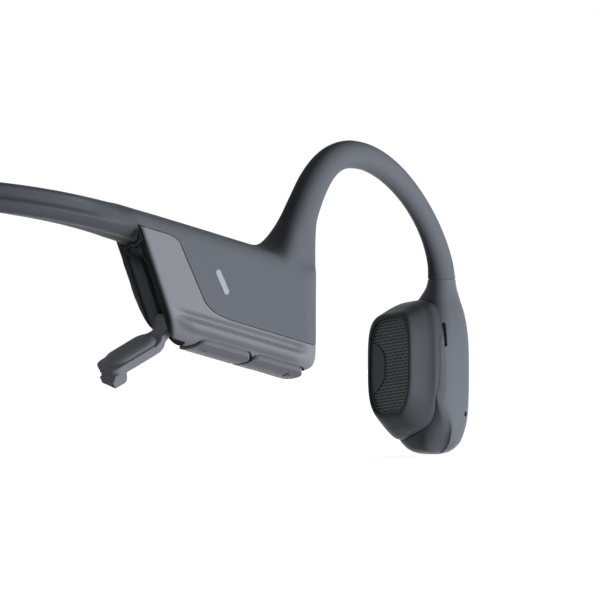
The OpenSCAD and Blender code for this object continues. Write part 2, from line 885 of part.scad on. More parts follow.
function oval(n, a, b, sharp) = [for (k = [0 : n - 1]) let (t = 360 * k / n, c = cos(t), s = sin(t))
    [a * sign(c) * pow(abs(c), 2 / sharp), b * sign(s) * pow(abs(s), 2 / sharp)]];

function shell_ring(l, inset) =
    let (y = lerp(half_d, neck_forward, ramp(l[0], transducer_h - 9, transducer_h)))
    [for (q = oval(20, l[2] - inset, l[3] - inset, l[4])) [l[1] + q.x, y + q.y, l[0]]];

module shell_form() {
    loft([for (l = shell_levels) shell_ring(l, 0)]);
}

module shell_cavity() {
    floor_lift = [shell_wall * 0.7, 0, 0, 0, 0];
    loft([for (k = [1 : 8]) shell_ring(shell_levels[k] + (k == 1 ? 1 : 0) * floor_lift, shell_wall)]);
}

// Raised speaker housing on the rear of the transducer
boss_plug = 1.2;
base_w = face_w + 1.2;
base_h = face_h + 5.4;
base_z = face_z - 1.25;

// Levels of the speaker housing: y, half width, half height, middle height
boss_levels = [
    [boss_plug, base_w / 2, base_h / 2, base_z],
    [0, base_w / 2, base_h / 2, base_z],
    [2.6 - boss_h, face_w / 2 + 0.4, face_h / 2 + 2.1, face_z - 1.1],
    [1 - boss_h, face_w / 2 + 0.2, face_h / 2 + 0.75, face_z - 0.65],
    [0.4 - boss_h, face_w / 2 + 0.05, face_h / 2 + 0.27, face_z - 0.32],
    [-boss_h, face_w / 2 - 0.35, face_h / 2 - 0.35, face_z - 0.05]
];
boss_square = 2.8;

module boss_form() {
    loft([for (l = boss_levels) [for (q = oval(28, l[1], l[2], boss_square)) [q.x, l[0], l[3] + q.y]]]);
}

speaker_w = face_w - 2.4;
speaker_h = face_h - 3.2;
speaker_r = 3.6;
grille_w = face_w - 2 * rim;
grille_h = face_h - 2 * rim;
grille_r = 4.9;
grille_sink = 0.25;
grille_y = grille_sink - boss_h;
ledge = 0.6;
frame_y = grille_y + grille_t + 0.7;
frame_t = 1.6;
frame_wall = 1;

// Extrudes a face view, drawn in x and z, from one y to another
module facewise(y0, y1) {
    translate([0, y1, face_z]) rotate([90, 0, 0]) linear_extrude(y1 - y0) children();
}

module speaker_housing() {
    in_transducer() difference() {
        boss_form();
        facewise(frame_y, boss_plug + past) bar(speaker_w, speaker_h, speaker_r);
        facewise(-boss_h - past, boss_plug) {
            bar(speaker_w - 2 * ledge, speaker_h - 2 * ledge, speaker_r - ledge);
        }
        facewise(-boss_h - past, grille_y + grille_t) bar(grille_w, grille_h, grille_r);
    }
}

// Slots follow the grille's outline inside a solid margin,
// and leave a bare place at the middle of the inner side
slot_margin = 0.9;
slot_rise = grille_h / 2 - slot_margin - slot_h;
bare_h = 7;
bare_w = 4.8;

// Half length of a slot at a height above the grille's middle
function slot_half(z) =
    let (r = grille_r - slot_margin, rise = max(0, abs(z) + slot_h / 2 - grille_h / 2 + grille_r))
    grille_w / 2 - grille_r + sqrt(r * r - rise * rise);

module speaker_grille() {
    in_transducer() facewise(grille_y, grille_y + grille_t) difference() {
        bar(grille_w - 2 * seat_gap, grille_h - 2 * seat_gap, grille_r - seat_gap);
        for (k = [0 : slot_count - 1]) {
            z = lerp(-slot_rise, slot_rise, k / (slot_count - 1));
            x0 = abs(z) < bare_h / 2 ? bare_w - grille_w / 2 : -slot_half(z);
            translate([x0, z - slot_h / 2]) square([slot_half(z) - x0, slot_h]);
        }
    }
}

module speaker_frame() {
    w = speaker_w - 2 * seat_gap;
    h = speaker_h - 2 * seat_gap;
    in_transducer() facewise(frame_y, frame_y + frame_t) difference() {
        bar(w, h, speaker_r - seat_gap);
        bar(w - 2 * frame_wall, h - 2 * frame_wall, speaker_r - frame_wall);
    }
}

diaphragm_t = 0.2;
diaphragm_set = 0.3;
speaker_magnet_t = 1.6;

module speaker_diaphragm() {
    gap = 2 * frame_wall + 4 * seat_gap;
    y0 = frame_y + diaphragm_set;
    in_transducer() facewise(y0, y0 + diaphragm_t) bar(speaker_w - gap, speaker_h - gap, 2.4);
}

module speaker_magnet() {
    y0 = frame_y + frame_t - 0.7;
    in_transducer() facewise(y0, y0 + speaker_magnet_t) bar(speaker_w - 4, speaker_h - 5, 1.5);
}

// Pad on the inner side that presses on the cheekbone
pad_w = 4.8;
pad_l = 14.4;
pad_t = 1.6;
pad_proud = 0.3;
pad_z = 11.4;
pad_y = half_d;

// Extrudes a side view, drawn in y and z round the pad's middle, from one x to another
module sidewise(x0, x1) {
    translate([x0, pad_y, pad_z]) rotate([90, 0, 90]) linear_extrude(x1 - x0) children();
}

pad_back = pad_t - pad_proud - half_w;

module contact_pad() {
    in_transducer() sidewise(-half_w - pad_proud, pad_back) stadium(pad_w, pad_l);
}

// Bone conduction driver: leaf spring behind the pad, coil, magnet and yoke
spring_t = 0.3;
spring_x = pad_back + seat_gap;
coil_x = spring_x + spring_t + seat_gap;
coil_t = 2.2;
coil_l = 9;
coil_wall = 0.8;
yoke_w = transducer_d - 2 * shell_wall - 1.2;
yoke_l = 11;
yoke_wall = 0.5;
yoke_floor = 1;
yoke_x = coil_x + 0.8;
coil_w = yoke_w - 2 * yoke_wall - 4 * seat_gap;
floor_x = coil_x + coil_t + seat_gap;

module driver_spring() {
    in_transducer() sidewise(spring_x, spring_x + spring_t) bar(pad_w - 0.4, pad_l - 3, 0.8);
}

module driver_coil() {
    in_transducer() sidewise(coil_x, coil_x + coil_t) difference() {
        bar(coil_w, coil_l, 1);
        bar(coil_w - 2 * coil_wall, coil_l - 2 * coil_wall, 0.4);
    }
}

module driver_magnet() {
    gap = 2 * coil_wall + 4 * seat_gap;
    in_transducer() sidewise(coil_x + 0.5, floor_x) square([coil_w - gap, coil_l - gap], center = true);
}

module driver_yoke() {
    in_transducer() difference() {
        sidewise(yoke_x, floor_x + yoke_floor) bar(yoke_w, yoke_l, 1);
        sidewise(yoke_x - past, floor_x) bar(yoke_w - 2 * yoke_wall, yoke_l - 2 * yoke_wall, 0.6);
    }
}

// Microphone behind a small hole in the front of the transducer
mic_x = 4.2;
mic_z = 6.1;
mic_d = 1.6;
mic_t = 1.2;
mic_hole_d = 0.9;
// Room for the curve of the wall in front of the microphone
mic_set = 0.65;

module mic_hole() {
    translate([mic_x, transducer_d + past, mic_z]) rotate([90, 0, 0]) {
        cylinder(d = mic_hole_d, h = shell_wall * 2 + past);
    }
}

module microphone() {
    in_transducer() translate([mic_x, transducer_d - shell_wall - mic_set, mic_z]) {
        rotate([90, 0, 0]) cylinder(d = mic_d, h = mic_t);
    }
}

// Narrow vent beside the speaker housing
vent_z = 18.8;
vent_l = 3.8;
vent_w = 0.5;
vent_y = 1;
vent_in = 2.4;

module transducer_shell() {
    in_transducer() difference() {
        shell_form();
        shell_cavity();
        boss_form();
        sidewise(-half_w - far, pad_back + past) stadium(pad_w, pad_l);
        mic_hole();
        translate([half_w - vent_in, vent_y, vent_z]) rotate([90, 0, 90]) {
            linear_extrude(vent_in + past) stadium(vent_w, vent_l);
        }
    }
}

multi_travel = key_travel;
multi_proud = 0.3;
multi_t = 1.6;
multi_switch_t = 1.35;
multi_switch_w = 3;
multi_x = half_w + multi_proud - multi_t;

module left_shell_cuts() {
    in_transducer() sidewise(multi_x - past / 2, far) {
        stadium(multi_w + 2 * slide_gap, multi_l + 2 * slide_gap);
    }
}

module multifunction_button() {
    color("#5a5d62") left() in_transducer() sidewise(multi_x, multi_x + multi_t) stadium(multi_w, multi_l);
}

module multifunction_switch() {
    top_x = multi_x - multi_travel - seal_play;
    color("#c9c9c6") left() in_transducer() sidewise(top_x - multi_switch_t, top_x) {
        square([multi_switch_w, multi_switch_w], center = true);
    }
}

module right_transducer_shell() {
    color("#4b4e53") difference() {
        transducer_shell();
        hook_bore();
    }
}

module left_transducer_shell() {
    color("#4b4e53") left() difference() {
        transducer_shell();
        hook_bore();
        left_shell_cuts();
    }
}

module right_speaker_housing() {
    color("#53565b") speaker_housing();
}

module left_speaker_housing() {
    color("#53565b") left() speaker_housing();
}

module right_speaker_grille() {
    color("#2a2c2f") speaker_grille();
}

module left_speaker_grille() {
    color("#2a2c2f") left() speaker_grille();
}

module right_speaker_frame() {
    color("#1b1c1e") speaker_frame();
}

module left_speaker_frame() {
    color("#1b1c1e") left() speaker_frame();
}

module right_speaker_diaphragm() {
    color("#3a3a3a") speaker_diaphragm();
}

module left_speaker_diaphragm() {
    color("#3a3a3a") left() speaker_diaphragm();
}

module right_speaker_magnet() {
    color("#a9acb0") speaker_magnet();
}

module left_speaker_magnet() {
    color("#a9acb0") left() speaker_magnet();
}

module right_contact_pad() {
    color("#3a3d41") contact_pad();
}

module left_contact_pad() {
    color("#3a3d41") left() contact_pad();
}

module right_driver_yoke() {
    color("#9a9da1") driver_yoke();
}

module left_driver_yoke() {
    color("#9a9da1") left() driver_yoke();
}

module right_driver_magnet() {
    color("#c0c3c7") driver_magnet();
}

module left_driver_magnet() {
    color("#c0c3c7") left() driver_magnet();
}

module right_driver_coil() {
    color("#b4703a") driver_coil();
}

module left_driver_coil() {
    color("#b4703a") left() driver_coil();
}

module right_driver_spring() {
    color("#c9ccd0") driver_spring();
}

module left_driver_spring() {
    color("#c9ccd0") left() driver_spring();
}

module right_microphone() {
    color("#8a8d91") microphone();
}

module left_microphone() {
    color("#8a8d91") left() microphone();
}

neckband_sleeve();
neckband_spring_wire();
neckband_cable();
right_cover();
right_housing();
right_hook_wire();
right_hook_cable();
right_wire_clamp();
left_cover();
left_housing();
left_hook_wire();
left_hook_cable();
left_wire_clamp();
port_cover();
usb_shell();
usb_tongue();
usb_contacts();
volume_down_button();
volume_up_button();
button_seal();
volume_down_switch();
volume_up_switch();
switch_board();
main_board();
radio_module();
led_emitter();
led_window();
battery_cell();
battery_board();
right_transducer_shell();
right_speaker_housing();
right_speaker_grille();
right_speaker_frame();
right_speaker_diaphragm();
right_speaker_magnet();
right_contact_pad();
right_driver_yoke();
right_driver_magnet();
right_driver_coil();
right_driver_spring();
right_microphone();
left_transducer_shell();
left_speaker_housing();
left_speaker_grille();
left_speaker_frame();
left_speaker_diaphragm();
left_speaker_magnet();
left_contact_pad();
left_driver_yoke();
left_driver_magnet();
left_driver_coil();
left_driver_spring();
left_microphone();
multifunction_button();
multifunction_switch();
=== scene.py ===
# %% [markdown]
# An open-ear headset that rests on the cheekbones. A springy band runs behind the neck from pod to pod,
# an ear hook rises from each pod, and a transducer hangs at the front of each hook.
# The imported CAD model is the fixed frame: every piece below is made where its solids are.
# All shapes are worked out in millimetres, because that is how such small parts are drawn,
# and each finished mesh is brought to metres at the end.

# %% Load the frame
import json
import math

import bpy
import numpy as np
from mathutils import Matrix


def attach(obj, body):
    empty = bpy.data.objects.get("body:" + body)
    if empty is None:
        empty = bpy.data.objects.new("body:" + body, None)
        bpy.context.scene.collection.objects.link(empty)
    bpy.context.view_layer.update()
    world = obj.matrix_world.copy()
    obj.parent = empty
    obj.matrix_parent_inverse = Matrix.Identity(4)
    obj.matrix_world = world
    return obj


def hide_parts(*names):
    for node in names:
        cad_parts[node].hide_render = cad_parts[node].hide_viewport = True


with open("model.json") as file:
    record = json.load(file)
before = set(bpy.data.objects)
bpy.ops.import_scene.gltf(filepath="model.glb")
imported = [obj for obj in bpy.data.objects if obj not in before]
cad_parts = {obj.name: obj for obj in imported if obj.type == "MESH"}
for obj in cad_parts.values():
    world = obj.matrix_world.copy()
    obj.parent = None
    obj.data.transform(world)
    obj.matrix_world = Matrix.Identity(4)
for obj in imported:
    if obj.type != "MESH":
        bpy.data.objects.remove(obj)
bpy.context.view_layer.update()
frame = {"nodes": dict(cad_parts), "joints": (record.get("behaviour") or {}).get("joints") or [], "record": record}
MM = 0.001
X, Y, Z = np.eye(3)
scene = bpy.context.scene
scene.view_settings.view_transform = "Standard"
joints = {joint["name"]: joint for joint in frame["joints"]}
mounts = {mount["name"]: mount for mount in frame["record"]["mounts"]}

# %% [markdown]
# The pod and the transducer are each tilted, so each is drawn in its own upright axes and then placed.
# The axes could be typed in as angles. They are read from the frame instead, so they always fit it:
# the flap's hinge runs across the pod, the charging plug goes in square to its end face,
# and the cheek pad faces along the transducer's width.


# %% Axes of the pod and of the transducer
def unit(v):
    return np.asarray(v, float) / np.linalg.norm(v)


class Axes:
    """A place on the part and three directions there; points go in and come out in millimetres."""

    def __init__(self, origin, x, y):
        self.origin = np.asarray(origin, float)
        self.turn = np.array([unit(x), unit(y), np.cross(unit(x), unit(y))])

    def point(self, p):
        return self.origin + np.asarray(p, float) @ self.turn

    def way(self, v):
        return np.asarray(v, float) @ self.turn

    def local(self, p):
        return (np.asarray(p, float) - self.origin) @ self.turn.T

    def view(self, right, up, at=(0, 0, 0)):
        """Drawing plane on these axes, with its third direction out of the paper."""
        return Axes(self.point(at), self.way(right), self.way(up))


END_SLANT = math.radians(40)
BARREL_IN_POD = (0, -8.5614, -5.9918)
CHEEK_IN_TRANSDUCER = (-7.8, 3.8, 11.4)
hinge = joints["port_cover_hinge"]
pod_x = unit(hinge["axis"])
end_out = unit(mounts["charging_port"]["axis"])
end_up = np.cross(end_out, pod_x)
pod = Axes((0, 0, 0), pod_x, -math.sin(END_SLANT) * end_up - math.cos(END_SLANT) * end_out)
pod.origin = np.array(hinge["pos_m"]) / MM - pod.way(BARREL_IN_POD)
cheek = mounts["right_cheek_face"]
outward = -np.array(cheek["axis"])
transducer = Axes((0, 0, 0), outward, np.cross(Z, outward))
transducer.origin = np.array(cheek["pos_m"]) / MM - transducer.way(CHEEK_IN_TRANSDUCER)
print("pod centre", pod.origin.round(2), "transducer foot", transducer.origin.round(2))

# %% [markdown]
# The photograph was taken level with the pod, from behind and to the right, with a long lens.
# The distance sets the perspective and the lens sets the scale, here 0.15 mm of the pod to a pixel.

# %% Camera
CAMERA_TURN = math.radians(48)
CAMERA_AWAY, CAMERA_RIGHT, CAMERA_DOWN = 900, 10.8, 0.105
towards_camera = np.array([math.cos(CAMERA_TURN), -math.sin(CAMERA_TURN), 0])
image_right = np.array([math.sin(CAMERA_TURN), math.cos(CAMERA_TURN), 0])
eye = pod.origin + CAMERA_AWAY * towards_camera + CAMERA_RIGHT * image_right - CAMERA_DOWN * Z
camera_data = bpy.data.cameras.new("camera")
camera_data.lens = 360
camera_data.sensor_width = 36
camera_data.clip_start = 0.01
camera = bpy.data.objects.new("camera", camera_data)
camera.location = eye * MM
camera.rotation_euler = (math.radians(90), 0, math.pi / 2 - CAMERA_TURN)
scene.collection.objects.link(camera)
scene.camera = camera
print("camera at", (eye * MM).round(3))

# %% [markdown]
# Two kinds of solid make almost everything here. A prism pushes an outline straight through,
# and a loft runs a skin over a row of rings. Blender's own cubes and cylinders would fix the fineness;
# plain lists of points and faces let it be chosen piece by piece.


# %% Prisms and lofts
def corners(made):
    points = np.empty(3 * len(made.data.vertices))
    made.data.vertices.foreach_get("co", points)
    return points.reshape(-1, 3)


def set_corners(made, points):
    made.data.vertices.foreach_set("co", points.ravel())
    made.data.update()


def volume(made):
    mesh = made.data
    mesh.calc_loop_triangles()
    index = np.empty(3 * len(mesh.loop_triangles), int)
    mesh.loop_triangles.foreach_get("vertices", index)
    a, b, c = np.moveaxis(corners(made)[index.reshape(-1, 3)], 1, 0)
    return float(np.einsum("ij,ij->", a, np.cross(b, c))) / 6


def make(name, points, faces):
    """Mesh object whose faces look outwards."""
    mesh = bpy.data.meshes.new(name)
    mesh.from_pydata(np.asarray(points, float).tolist(), [], faces)
    made = bpy.data.objects.new(name, mesh)
    scene.collection.objects.link(made)
    if volume(made) < 0:
        mesh.flip_normals()
    return made


def loft(name, rings):
    rings = np.asarray(rings, float)
    m, n = rings.shape[:2]
    points = np.concatenate([rings.reshape(-1, 3), [rings[0].mean(0), rings[-1].mean(0)]])
    faces = []
    for i in range(m - 1):
        for j in range(n):
            k = (j + 1) % n
            faces.append((i * n + j, i * n + k, i * n + n + k, i * n + n + j))
    for j in range(n):
        k = (j + 1) % n
        faces.append((k, j, m * n))
        faces.append(((m - 1) * n + j, (m - 1) * n + k, m * n + 1))
    return make(name, points, faces)


def prism(name, outline, low, high, axes):
    n = len(outline)
    flat = np.asarray(outline, float)
    points = [axes.point(np.column_stack([flat, np.full(n, w)])) for w in (low, high)]
    faces = [tuple(reversed(range(n))), tuple(range(n, 2 * n))]
    for j in range(n):
        k = (j + 1) % n
        faces.append((j, k, n + k, n + j))
    return make(name, np.concatenate(points), faces)


print("prisms and lofts ready")

# %% [markdown]
# The outlines that come back on this object are arcs, slots with round ends and bars with round corners.
# They could be drawn as curves and converted. As lists of points they can be shifted and joined freely.

# %% Outlines
QUARTERS = ((1, 1, 0), (-1, 1, 90), (-1, -1, 180), (1, -1, 270))


def arc(centre, radius, start, stop, steps=20):
    angles = np.radians(np.linspace(start, stop, steps + 1))
    return [(centre[0] + radius * math.cos(a), centre[1] + radius * math.sin(a)) for a in angles]


def stadium(w, l, at=(0, 0)):
    rise = (l - w) / 2
    ends = arc((0, rise), w / 2, 0, 180) + arc((0, -rise), w / 2, 180, 360)
    return [(x + at[0], y + at[1]) for x, y in ends]


def lying(w, l):
    """Stadium on its side."""
    return [(v, u) for u, v in stadium(w, l)][::-1]


def bar(w, l, r, at=(0, 0)):
    rounds = []
    for sx, sy, start in QUARTERS:
        rounds += arc((sx * (w / 2 - r), sy * (l / 2 - r)), r, start, start + 90)
    return [(u + at[0], v + at[1]) for u, v in rounds]


def box(x0, x1, y0, y1):
    return [(x0, y0), (x1, y0), (x1, y1), (x0, y1)]


def squared(wave, power):
    """A sine or cosine bent towards a square wave, which bends an oval towards a rectangle."""
    return np.sign(wave) * np.abs(wave) ** power


print("outlines ready")

# %% [markdown]
# Solids are joined and cut with Boolean modifiers. The joined form is then remeshed on a fine grid and
# eased, which rounds every inner corner the way a mould does. The easing moves points in and then
# out again, so the form keeps its size.


# %% Join, cut and ease
def settle(made):
    """Make what the modifiers show the object's own mesh."""
    shown = made.evaluated_get(bpy.context.evaluated_depsgraph_get())
    mesh = bpy.data.meshes.new_from_object(shown)
    made.modifiers.clear()
    made.data = mesh
    return made


def combine(made, tool, how="DIFFERENCE"):
    step = made.modifiers.new(how, "BOOLEAN")
    step.operation = how
    step.solver = "MANIFOLD"
    step.object = tool
    settle(made)
    bpy.data.objects.remove(tool)
    return made


def cut(made, name, outline, low, high, axes, how="DIFFERENCE"):
    """Take a prism out of a solid, or join or cross the two."""
    return combine(made, prism(name, outline, low, high, axes), how)


def twin(made, name):
    copy = bpy.data.objects.new(name, made.data.copy())
    scene.collection.objects.link(copy)
    return copy


def mirrored(made, name):
    copy = twin(made, name)
    set_corners(copy, corners(copy) * (-1, 1, 1))
    copy.data.flip_normals()
    return copy


def even(made, size):
    step = made.modifiers.new("even", "REMESH")
    step.mode = "VOXEL"
    step.voxel_size = size
    return settle(made)


def ease(made, rounds, weight=None, shrink=False):
    """Average each point with its neighbours; a weight from 0 to 1 limits where."""
    edges = np.empty(2 * len(made.data.edges), int)
    made.data.edges.foreach_get("vertices", edges)
    a, b = edges.reshape(-1, 2).T
    points = corners(made)
    count = len(points)
    share = np.bincount(a, minlength=count) + np.bincount(b, minlength=count)
    amount = (np.ones(count) if weight is None else weight)[:, None]
    for step in range(rounds):
        for factor in (0.5,) if shrink else (0.5, -0.53):
            near = np.empty_like(points)
            for k in range(3):
                near[:, k] = np.bincount(a, points[b, k], count) + np.bincount(b, points[a, k], count)
            points = points + factor * amount * (near / share[:, None] - points)
    set_corners(made, points)
    return made


print("join, cut and ease ready")

# %% [markdown]
# The pod is a flat bar with a round bottom, an end face that leans for the charging plug and a leaning
# front. It could be carved from a cube with bevels. Here it is what three drawings have in common, the
# side view, the front view and the view along the front edge, which is how the CAD solid is made too.

# %% Pod form
POD_H, POD_T = 17.6, 10.6
END_REACH, END_ROUND = 16.2, 8
POD_FRONT, FRONT_LEAN, CORNER_R = 15.95, math.radians(21), 5.2
TOP_EDGE_R, FRONT_EDGE_R = 2.4, 3.2
FAR = 80
side_view = pod.view(Y, Z)
front_view = pod.view(X, Z)
end_view = pod.view(X, (0, -math.sin(END_SLANT), math.cos(END_SLANT)), (0, -END_REACH, 0))


def end_y(z):
    return -END_REACH - z * math.tan(END_SLANT)


def pod_form(name, inset=0.0, end_inset=0.0, steps=24):
    """The pod, or the hollow that lies a wall's thickness inside it."""
    half_h, half_t = POD_H / 2, POD_T / 2
    top, r = half_h - inset, half_t - inset
    arc_r = END_ROUND - end_inset
    arc_z = arc_r + inset - half_h
    arc_y = (END_ROUND - math.sin(END_SLANT) * arc_z) / math.cos(END_SLANT) - END_REACH
    corner = (POD_FRONT - CORNER_R, CORNER_R - half_h)
    side = [(end_y(top) + end_inset / math.cos(END_SLANT), top)]
    side += arc((arc_y, arc_z), arc_r, 220, 270, steps)
    side += arc(corner, CORNER_R - inset, 270, 360 + math.degrees(FRONT_LEAN), steps)
    side += [(POD_FRONT - inset - math.tan(FRONT_LEAN) * (top - corner[1]), top)]
    edge = TOP_EDGE_R - inset
    across = arc((0, half_t - half_h), r, 180, 360, 2 * steps)
    across += arc((r - edge, top - edge), edge, 0, 90, steps)
    across += arc((edge - r, top - edge), edge, 90, 180, steps)
    bend = FRONT_EDGE_R - inset
    plan = [(-r, -FAR), (r, -FAR)]
    plan += arc((r - bend, -FRONT_EDGE_R), bend, 0, 90, steps)
    plan += arc((bend - r, -FRONT_EDGE_R), bend, 90, 180, steps)
    front_rise = (0, math.cos(FRONT_LEAN), math.sin(FRONT_LEAN))
    plan_view = pod.view(X, front_rise, (0, POD_FRONT, corner[1]))
    form = prism(name, side, -half_t, half_t, side_view)
    cut(form, "section", across, -FAR, FAR, front_view, "INTERSECT")
    return cut(form, "plan", plan, -FAR, FAR, plan_view, "INTERSECT")


skin = pod_form("skin")
print("pod form", round(volume(skin)), "cubic mm")

# %% [markdown]
# The hook and the band follow curves in space. Blender's bevelled curve can't change its section on the
# way from a flat bar to a round rod, so rings are set along a curve with two handles and a loft runs
# over them. More rings are added on a smooth curve through the given ones, so no facet shows.


# %% Rings along a curve
def between(rings, parts):
    """Rings with more added on a smooth curve through them."""
    rings = np.asarray(rings, float)
    padded = np.concatenate([[2 * rings[0] - rings[1]], rings, [2 * rings[-1] - rings[-2]]])
    out = []
    for i in range(len(rings) - 1):
        a, b, c, d = padded[i:i + 4]
        for t in np.arange(parts) / parts:
            bend = (2 * a - 5 * b + 4 * c - d) * t * t + (3 * b - a - 3 * c + d) * t ** 3
            out.append(0.5 * (2 * b + (c - a) * t + bend))
    return np.array(out + [rings[-1]])


def ramp(t, a, b):
    return min(1.0, max(0.0, (t - a) / (b - a)))


def step_up(values, low, high):
    t = np.clip((values - low) / (high - low), 0, 1)
    return t * t * (3 - 2 * t)


def mix(a, b, t):
    return a + (b - a) * t


def curve_point(p, t):
    return p[0] * (1 - t) ** 3 + p[1] * 3 * t * (1 - t) ** 2 + p[2] * 3 * t * t * (1 - t) + p[3] * t ** 3


def curve_way(p, t):
    return unit((p[1] - p[0]) * (1 - t) ** 2 + (p[2] - p[1]) * 2 * t * (1 - t) + (p[3] - p[2]) * t * t)


def bar_ring(centre, side, rise, half_side, height, ends, steps=28):
    """Ring of a bar with round ends; a rod where the ends are half its height."""
    end = min(ends, 0.48 * height)
    upper = np.radians(np.linspace(0, 180, steps + 1))
    lower = upper + math.pi
    u = half_side * np.cos(np.concatenate([upper, lower]))
    v = np.concatenate([height / 2 - end + end * np.sin(upper), end - height / 2 + end * np.sin(lower)])
    return centre + np.outer(u, side) + np.outer(v, rise)


print("rings ready")

# %% [markdown]
# The ear hook grows out of the pod's flat sides as a broad stem, thins to a cord-like arch
# and ends at the transducer. The stem is a ladder of rungs, each from the front edge to the rear edge,
# so its two edges can be drawn as they are seen from the side. The arch is two curves that meet
# level at the crown.

# %% Ear hook
# Each rung: front y and z, rear y and z, shift across, share of the pod's thickness.
STEM_RUNGS = [
    (14, -0.4, 0.9, 8.2, 0, 0.96),
    (13.7, 1.2, 2.8, 8.9, 0, 0.95),
    (13.25, 3.2, 3.9, 9.7, -0.1, 0.91),
    (12.8, 5.6, 4.5, 10.8, -0.3, 0.82),
    (12.3, 8.4, 4.9, 12.2, -0.6, 0.69),
    (11.8, 11.2, 5.3, 13.8, -0.9, 0.57),
]
ROOT_SWELL, CROWN_D, WAIST_D, NECK_D = 1.2, 4.25, 3.5, 4.3
NECK_PLACE = 1.98
hook_root = pod.point((-1.2, 8.3, POD_H / 2 + 6.3))
hook_crown = pod.origin + (6.6, 20.4, 22.0)
hook_neck = transducer.point((3.6, 3.5, 27.4))
hook_start = hook_root + 5 * pod.way((0, 0.04, 1))
hook_rear = [hook_root, hook_start, hook_crown - (0, 6.3, 0), hook_crown]
hook_front = [hook_crown, hook_crown + (0, 10, 0), hook_neck + (0.6, -1, 8), hook_neck]


def stem_ring(rung):
    front_y, front_z, rear_y, rear_z, x, share = rung
    low = np.array([x, front_y, front_z])
    high = np.array([x, rear_y, rear_z])
    rise = high - low
    width, height = POD_T / 2 * share, np.linalg.norm(rise)
    return pod.point(bar_ring((low + high) / 2, X, unit(rise), width, height, TOP_EDGE_R))


def hook_frame(t):
    """Middle, side and way of the hook, from 0 at its root through 1 at the crown to 2 at the neck."""
    middle = curve_point(hook_rear, t) if t < 1 else curve_point(hook_front, t - 1)
    way = curve_way(hook_rear, t) if t < 1 else curve_way(hook_front, t - 1)
    if t > NECK_PLACE:
        way = -Z
    side = unit(mix(pod.way(X), transducer.way(X), t / 2))
    return middle, unit(side - way * (side @ way)), way


def hook_thickness(t):
    if t < 1:
        return CROWN_D + ROOT_SWELL * (1 - t) ** 2
    return mix(mix(CROWN_D, WAIST_D, ramp(t, 1, 1.5)), NECK_D, ramp(t, 1.6, 2) ** 2)


def hook_ring(t, width=None, reach=0.0, steps=28):
    middle, side, way = hook_frame(t)
    d = width or hook_thickness(t)
    return bar_ring(middle + reach * way, side, np.cross(side, way), d / 2, d, d / 2, steps)


hook_places = np.linspace(0, 2, 23)
hook_rings = between([stem_ring(r) for r in STEM_RUNGS] + [hook_ring(t) for t in hook_places], 5)
combine(skin, loft("hook", hook_rings), "UNION")
print("hook of", len(hook_rings), "rings")

# %% [markdown]
# The neckband leaves the top of the end face. There its underside slopes up to the outer side,
# and a ledge runs along that side, which gives the crease seen along the band.
# Both fade towards the middle, where the band is an even oval. A swept profile couldn't fade so,
# and rings can. The right half is drawn and mirrored, as the real band is the same on both sides.

# %% Neckband
BAND_Z = 6.8
SKIN_GRID = 0.21
LEDGE_DEEP = 1.35
band_root = pod.point((0, end_y(BAND_Z), BAND_Z))
band_rear = np.array([0, pod.origin[1] - 48, pod.origin[2] + 17])
band_curve = [band_root, band_root + 18 * pod.way(-Y), band_rear + (32, 0, 0), band_rear]


def band_frame(t):
    way = curve_way(band_curve, t)
    up = mix(pod.way(Z), Z, ramp(t, 0, 0.6))
    up = unit(up - way * (up @ way))
    return curve_point(band_curve, t), np.cross(up, way), up, way


def band_section(t, steps=144):
    half_side = mix(5.1, 1.9, ramp(t, 0, 0.45) ** 0.7)
    half_rise = mix(3.9, 4.2, ramp(t, 0, 0.3)) / 2
    bevel = 0.95 * (1 - ramp(t, 0, 0.5)) ** 1.5
    lower = mix(1.25, 1, ramp(t, 0, 0.6))
    a = np.radians(np.arange(steps) * 360 / steps + 180 / steps)
    x = half_side * squared(np.cos(a), 0.75)
    z = half_rise * squared(np.sin(a), 0.75)
    slope = np.where(x > 0, np.abs(x / half_side) ** 2.2, x / half_side)
    z = np.where(z < 0, z * lower * (1 - bevel * slope), z)
    depth = LEDGE_DEEP * step_up(t, 0, 0.12) * (1 - ramp(t, 0.15, 0.7))
    ledge = depth * step_up(z, -0.55, 0.2) * (1 - step_up(z, 0.5, 1.95))
    return np.column_stack([np.where(x > 0, x - ledge, x), z])


def band_ring(t):
    section = band_section(t)
    if t <= 0:
        z = BAND_Z + section[:, 1]
        return pod.point(np.column_stack([section[:, 0], end_y(z) - 40 * t, z]))
    middle, side, up, way = band_frame(t)
    return middle + np.outer(section[:, 0], side) + np.outer(section[:, 1], up)


band_places = np.concatenate([[-0.05], np.linspace(0, 1, 90)])
last_ring = band_ring(1.0) - X
combine(skin, loft("band", [band_ring(t) for t in band_places] + [last_ring]), "UNION")
even(skin, SKIN_GRID)
ease(skin, 6)
print("skin", len(skin.data.vertices), "points,", round(volume(skin)), "cubic mm")

# %% [markdown]
# Where the stem and the band leave the pod, the soft skin flows without a corner.
# A fillet on such a crossing is hard to draw, so the points near it are averaged some more,
# each place with a weight that fades out along the pod. The stem gets it in three places:
# at its root, on its front side and where it passes into the arch.


# %% Soften the roots of stem and band
def fade(values, low, high, soft):
    """One between low and high, falling to zero over a width on either side."""
    return np.clip((values - low) / soft + 1, 0, 1) * np.clip((high - values) / soft + 1, 0, 1)


def from_end(y, z):
    """Distance in from the leaning end face."""
    return (y - end_y(z)) * math.cos(END_SLANT)


def end_edge(x, y, z):
    return fade(from_end(y, z), -0.4, 0.9, 0.9) * fade(np.abs(x), 4.4, 9, 0.9) * fade(z, -9, 3.6, 1.5)


STEM_LEAN = 0.22
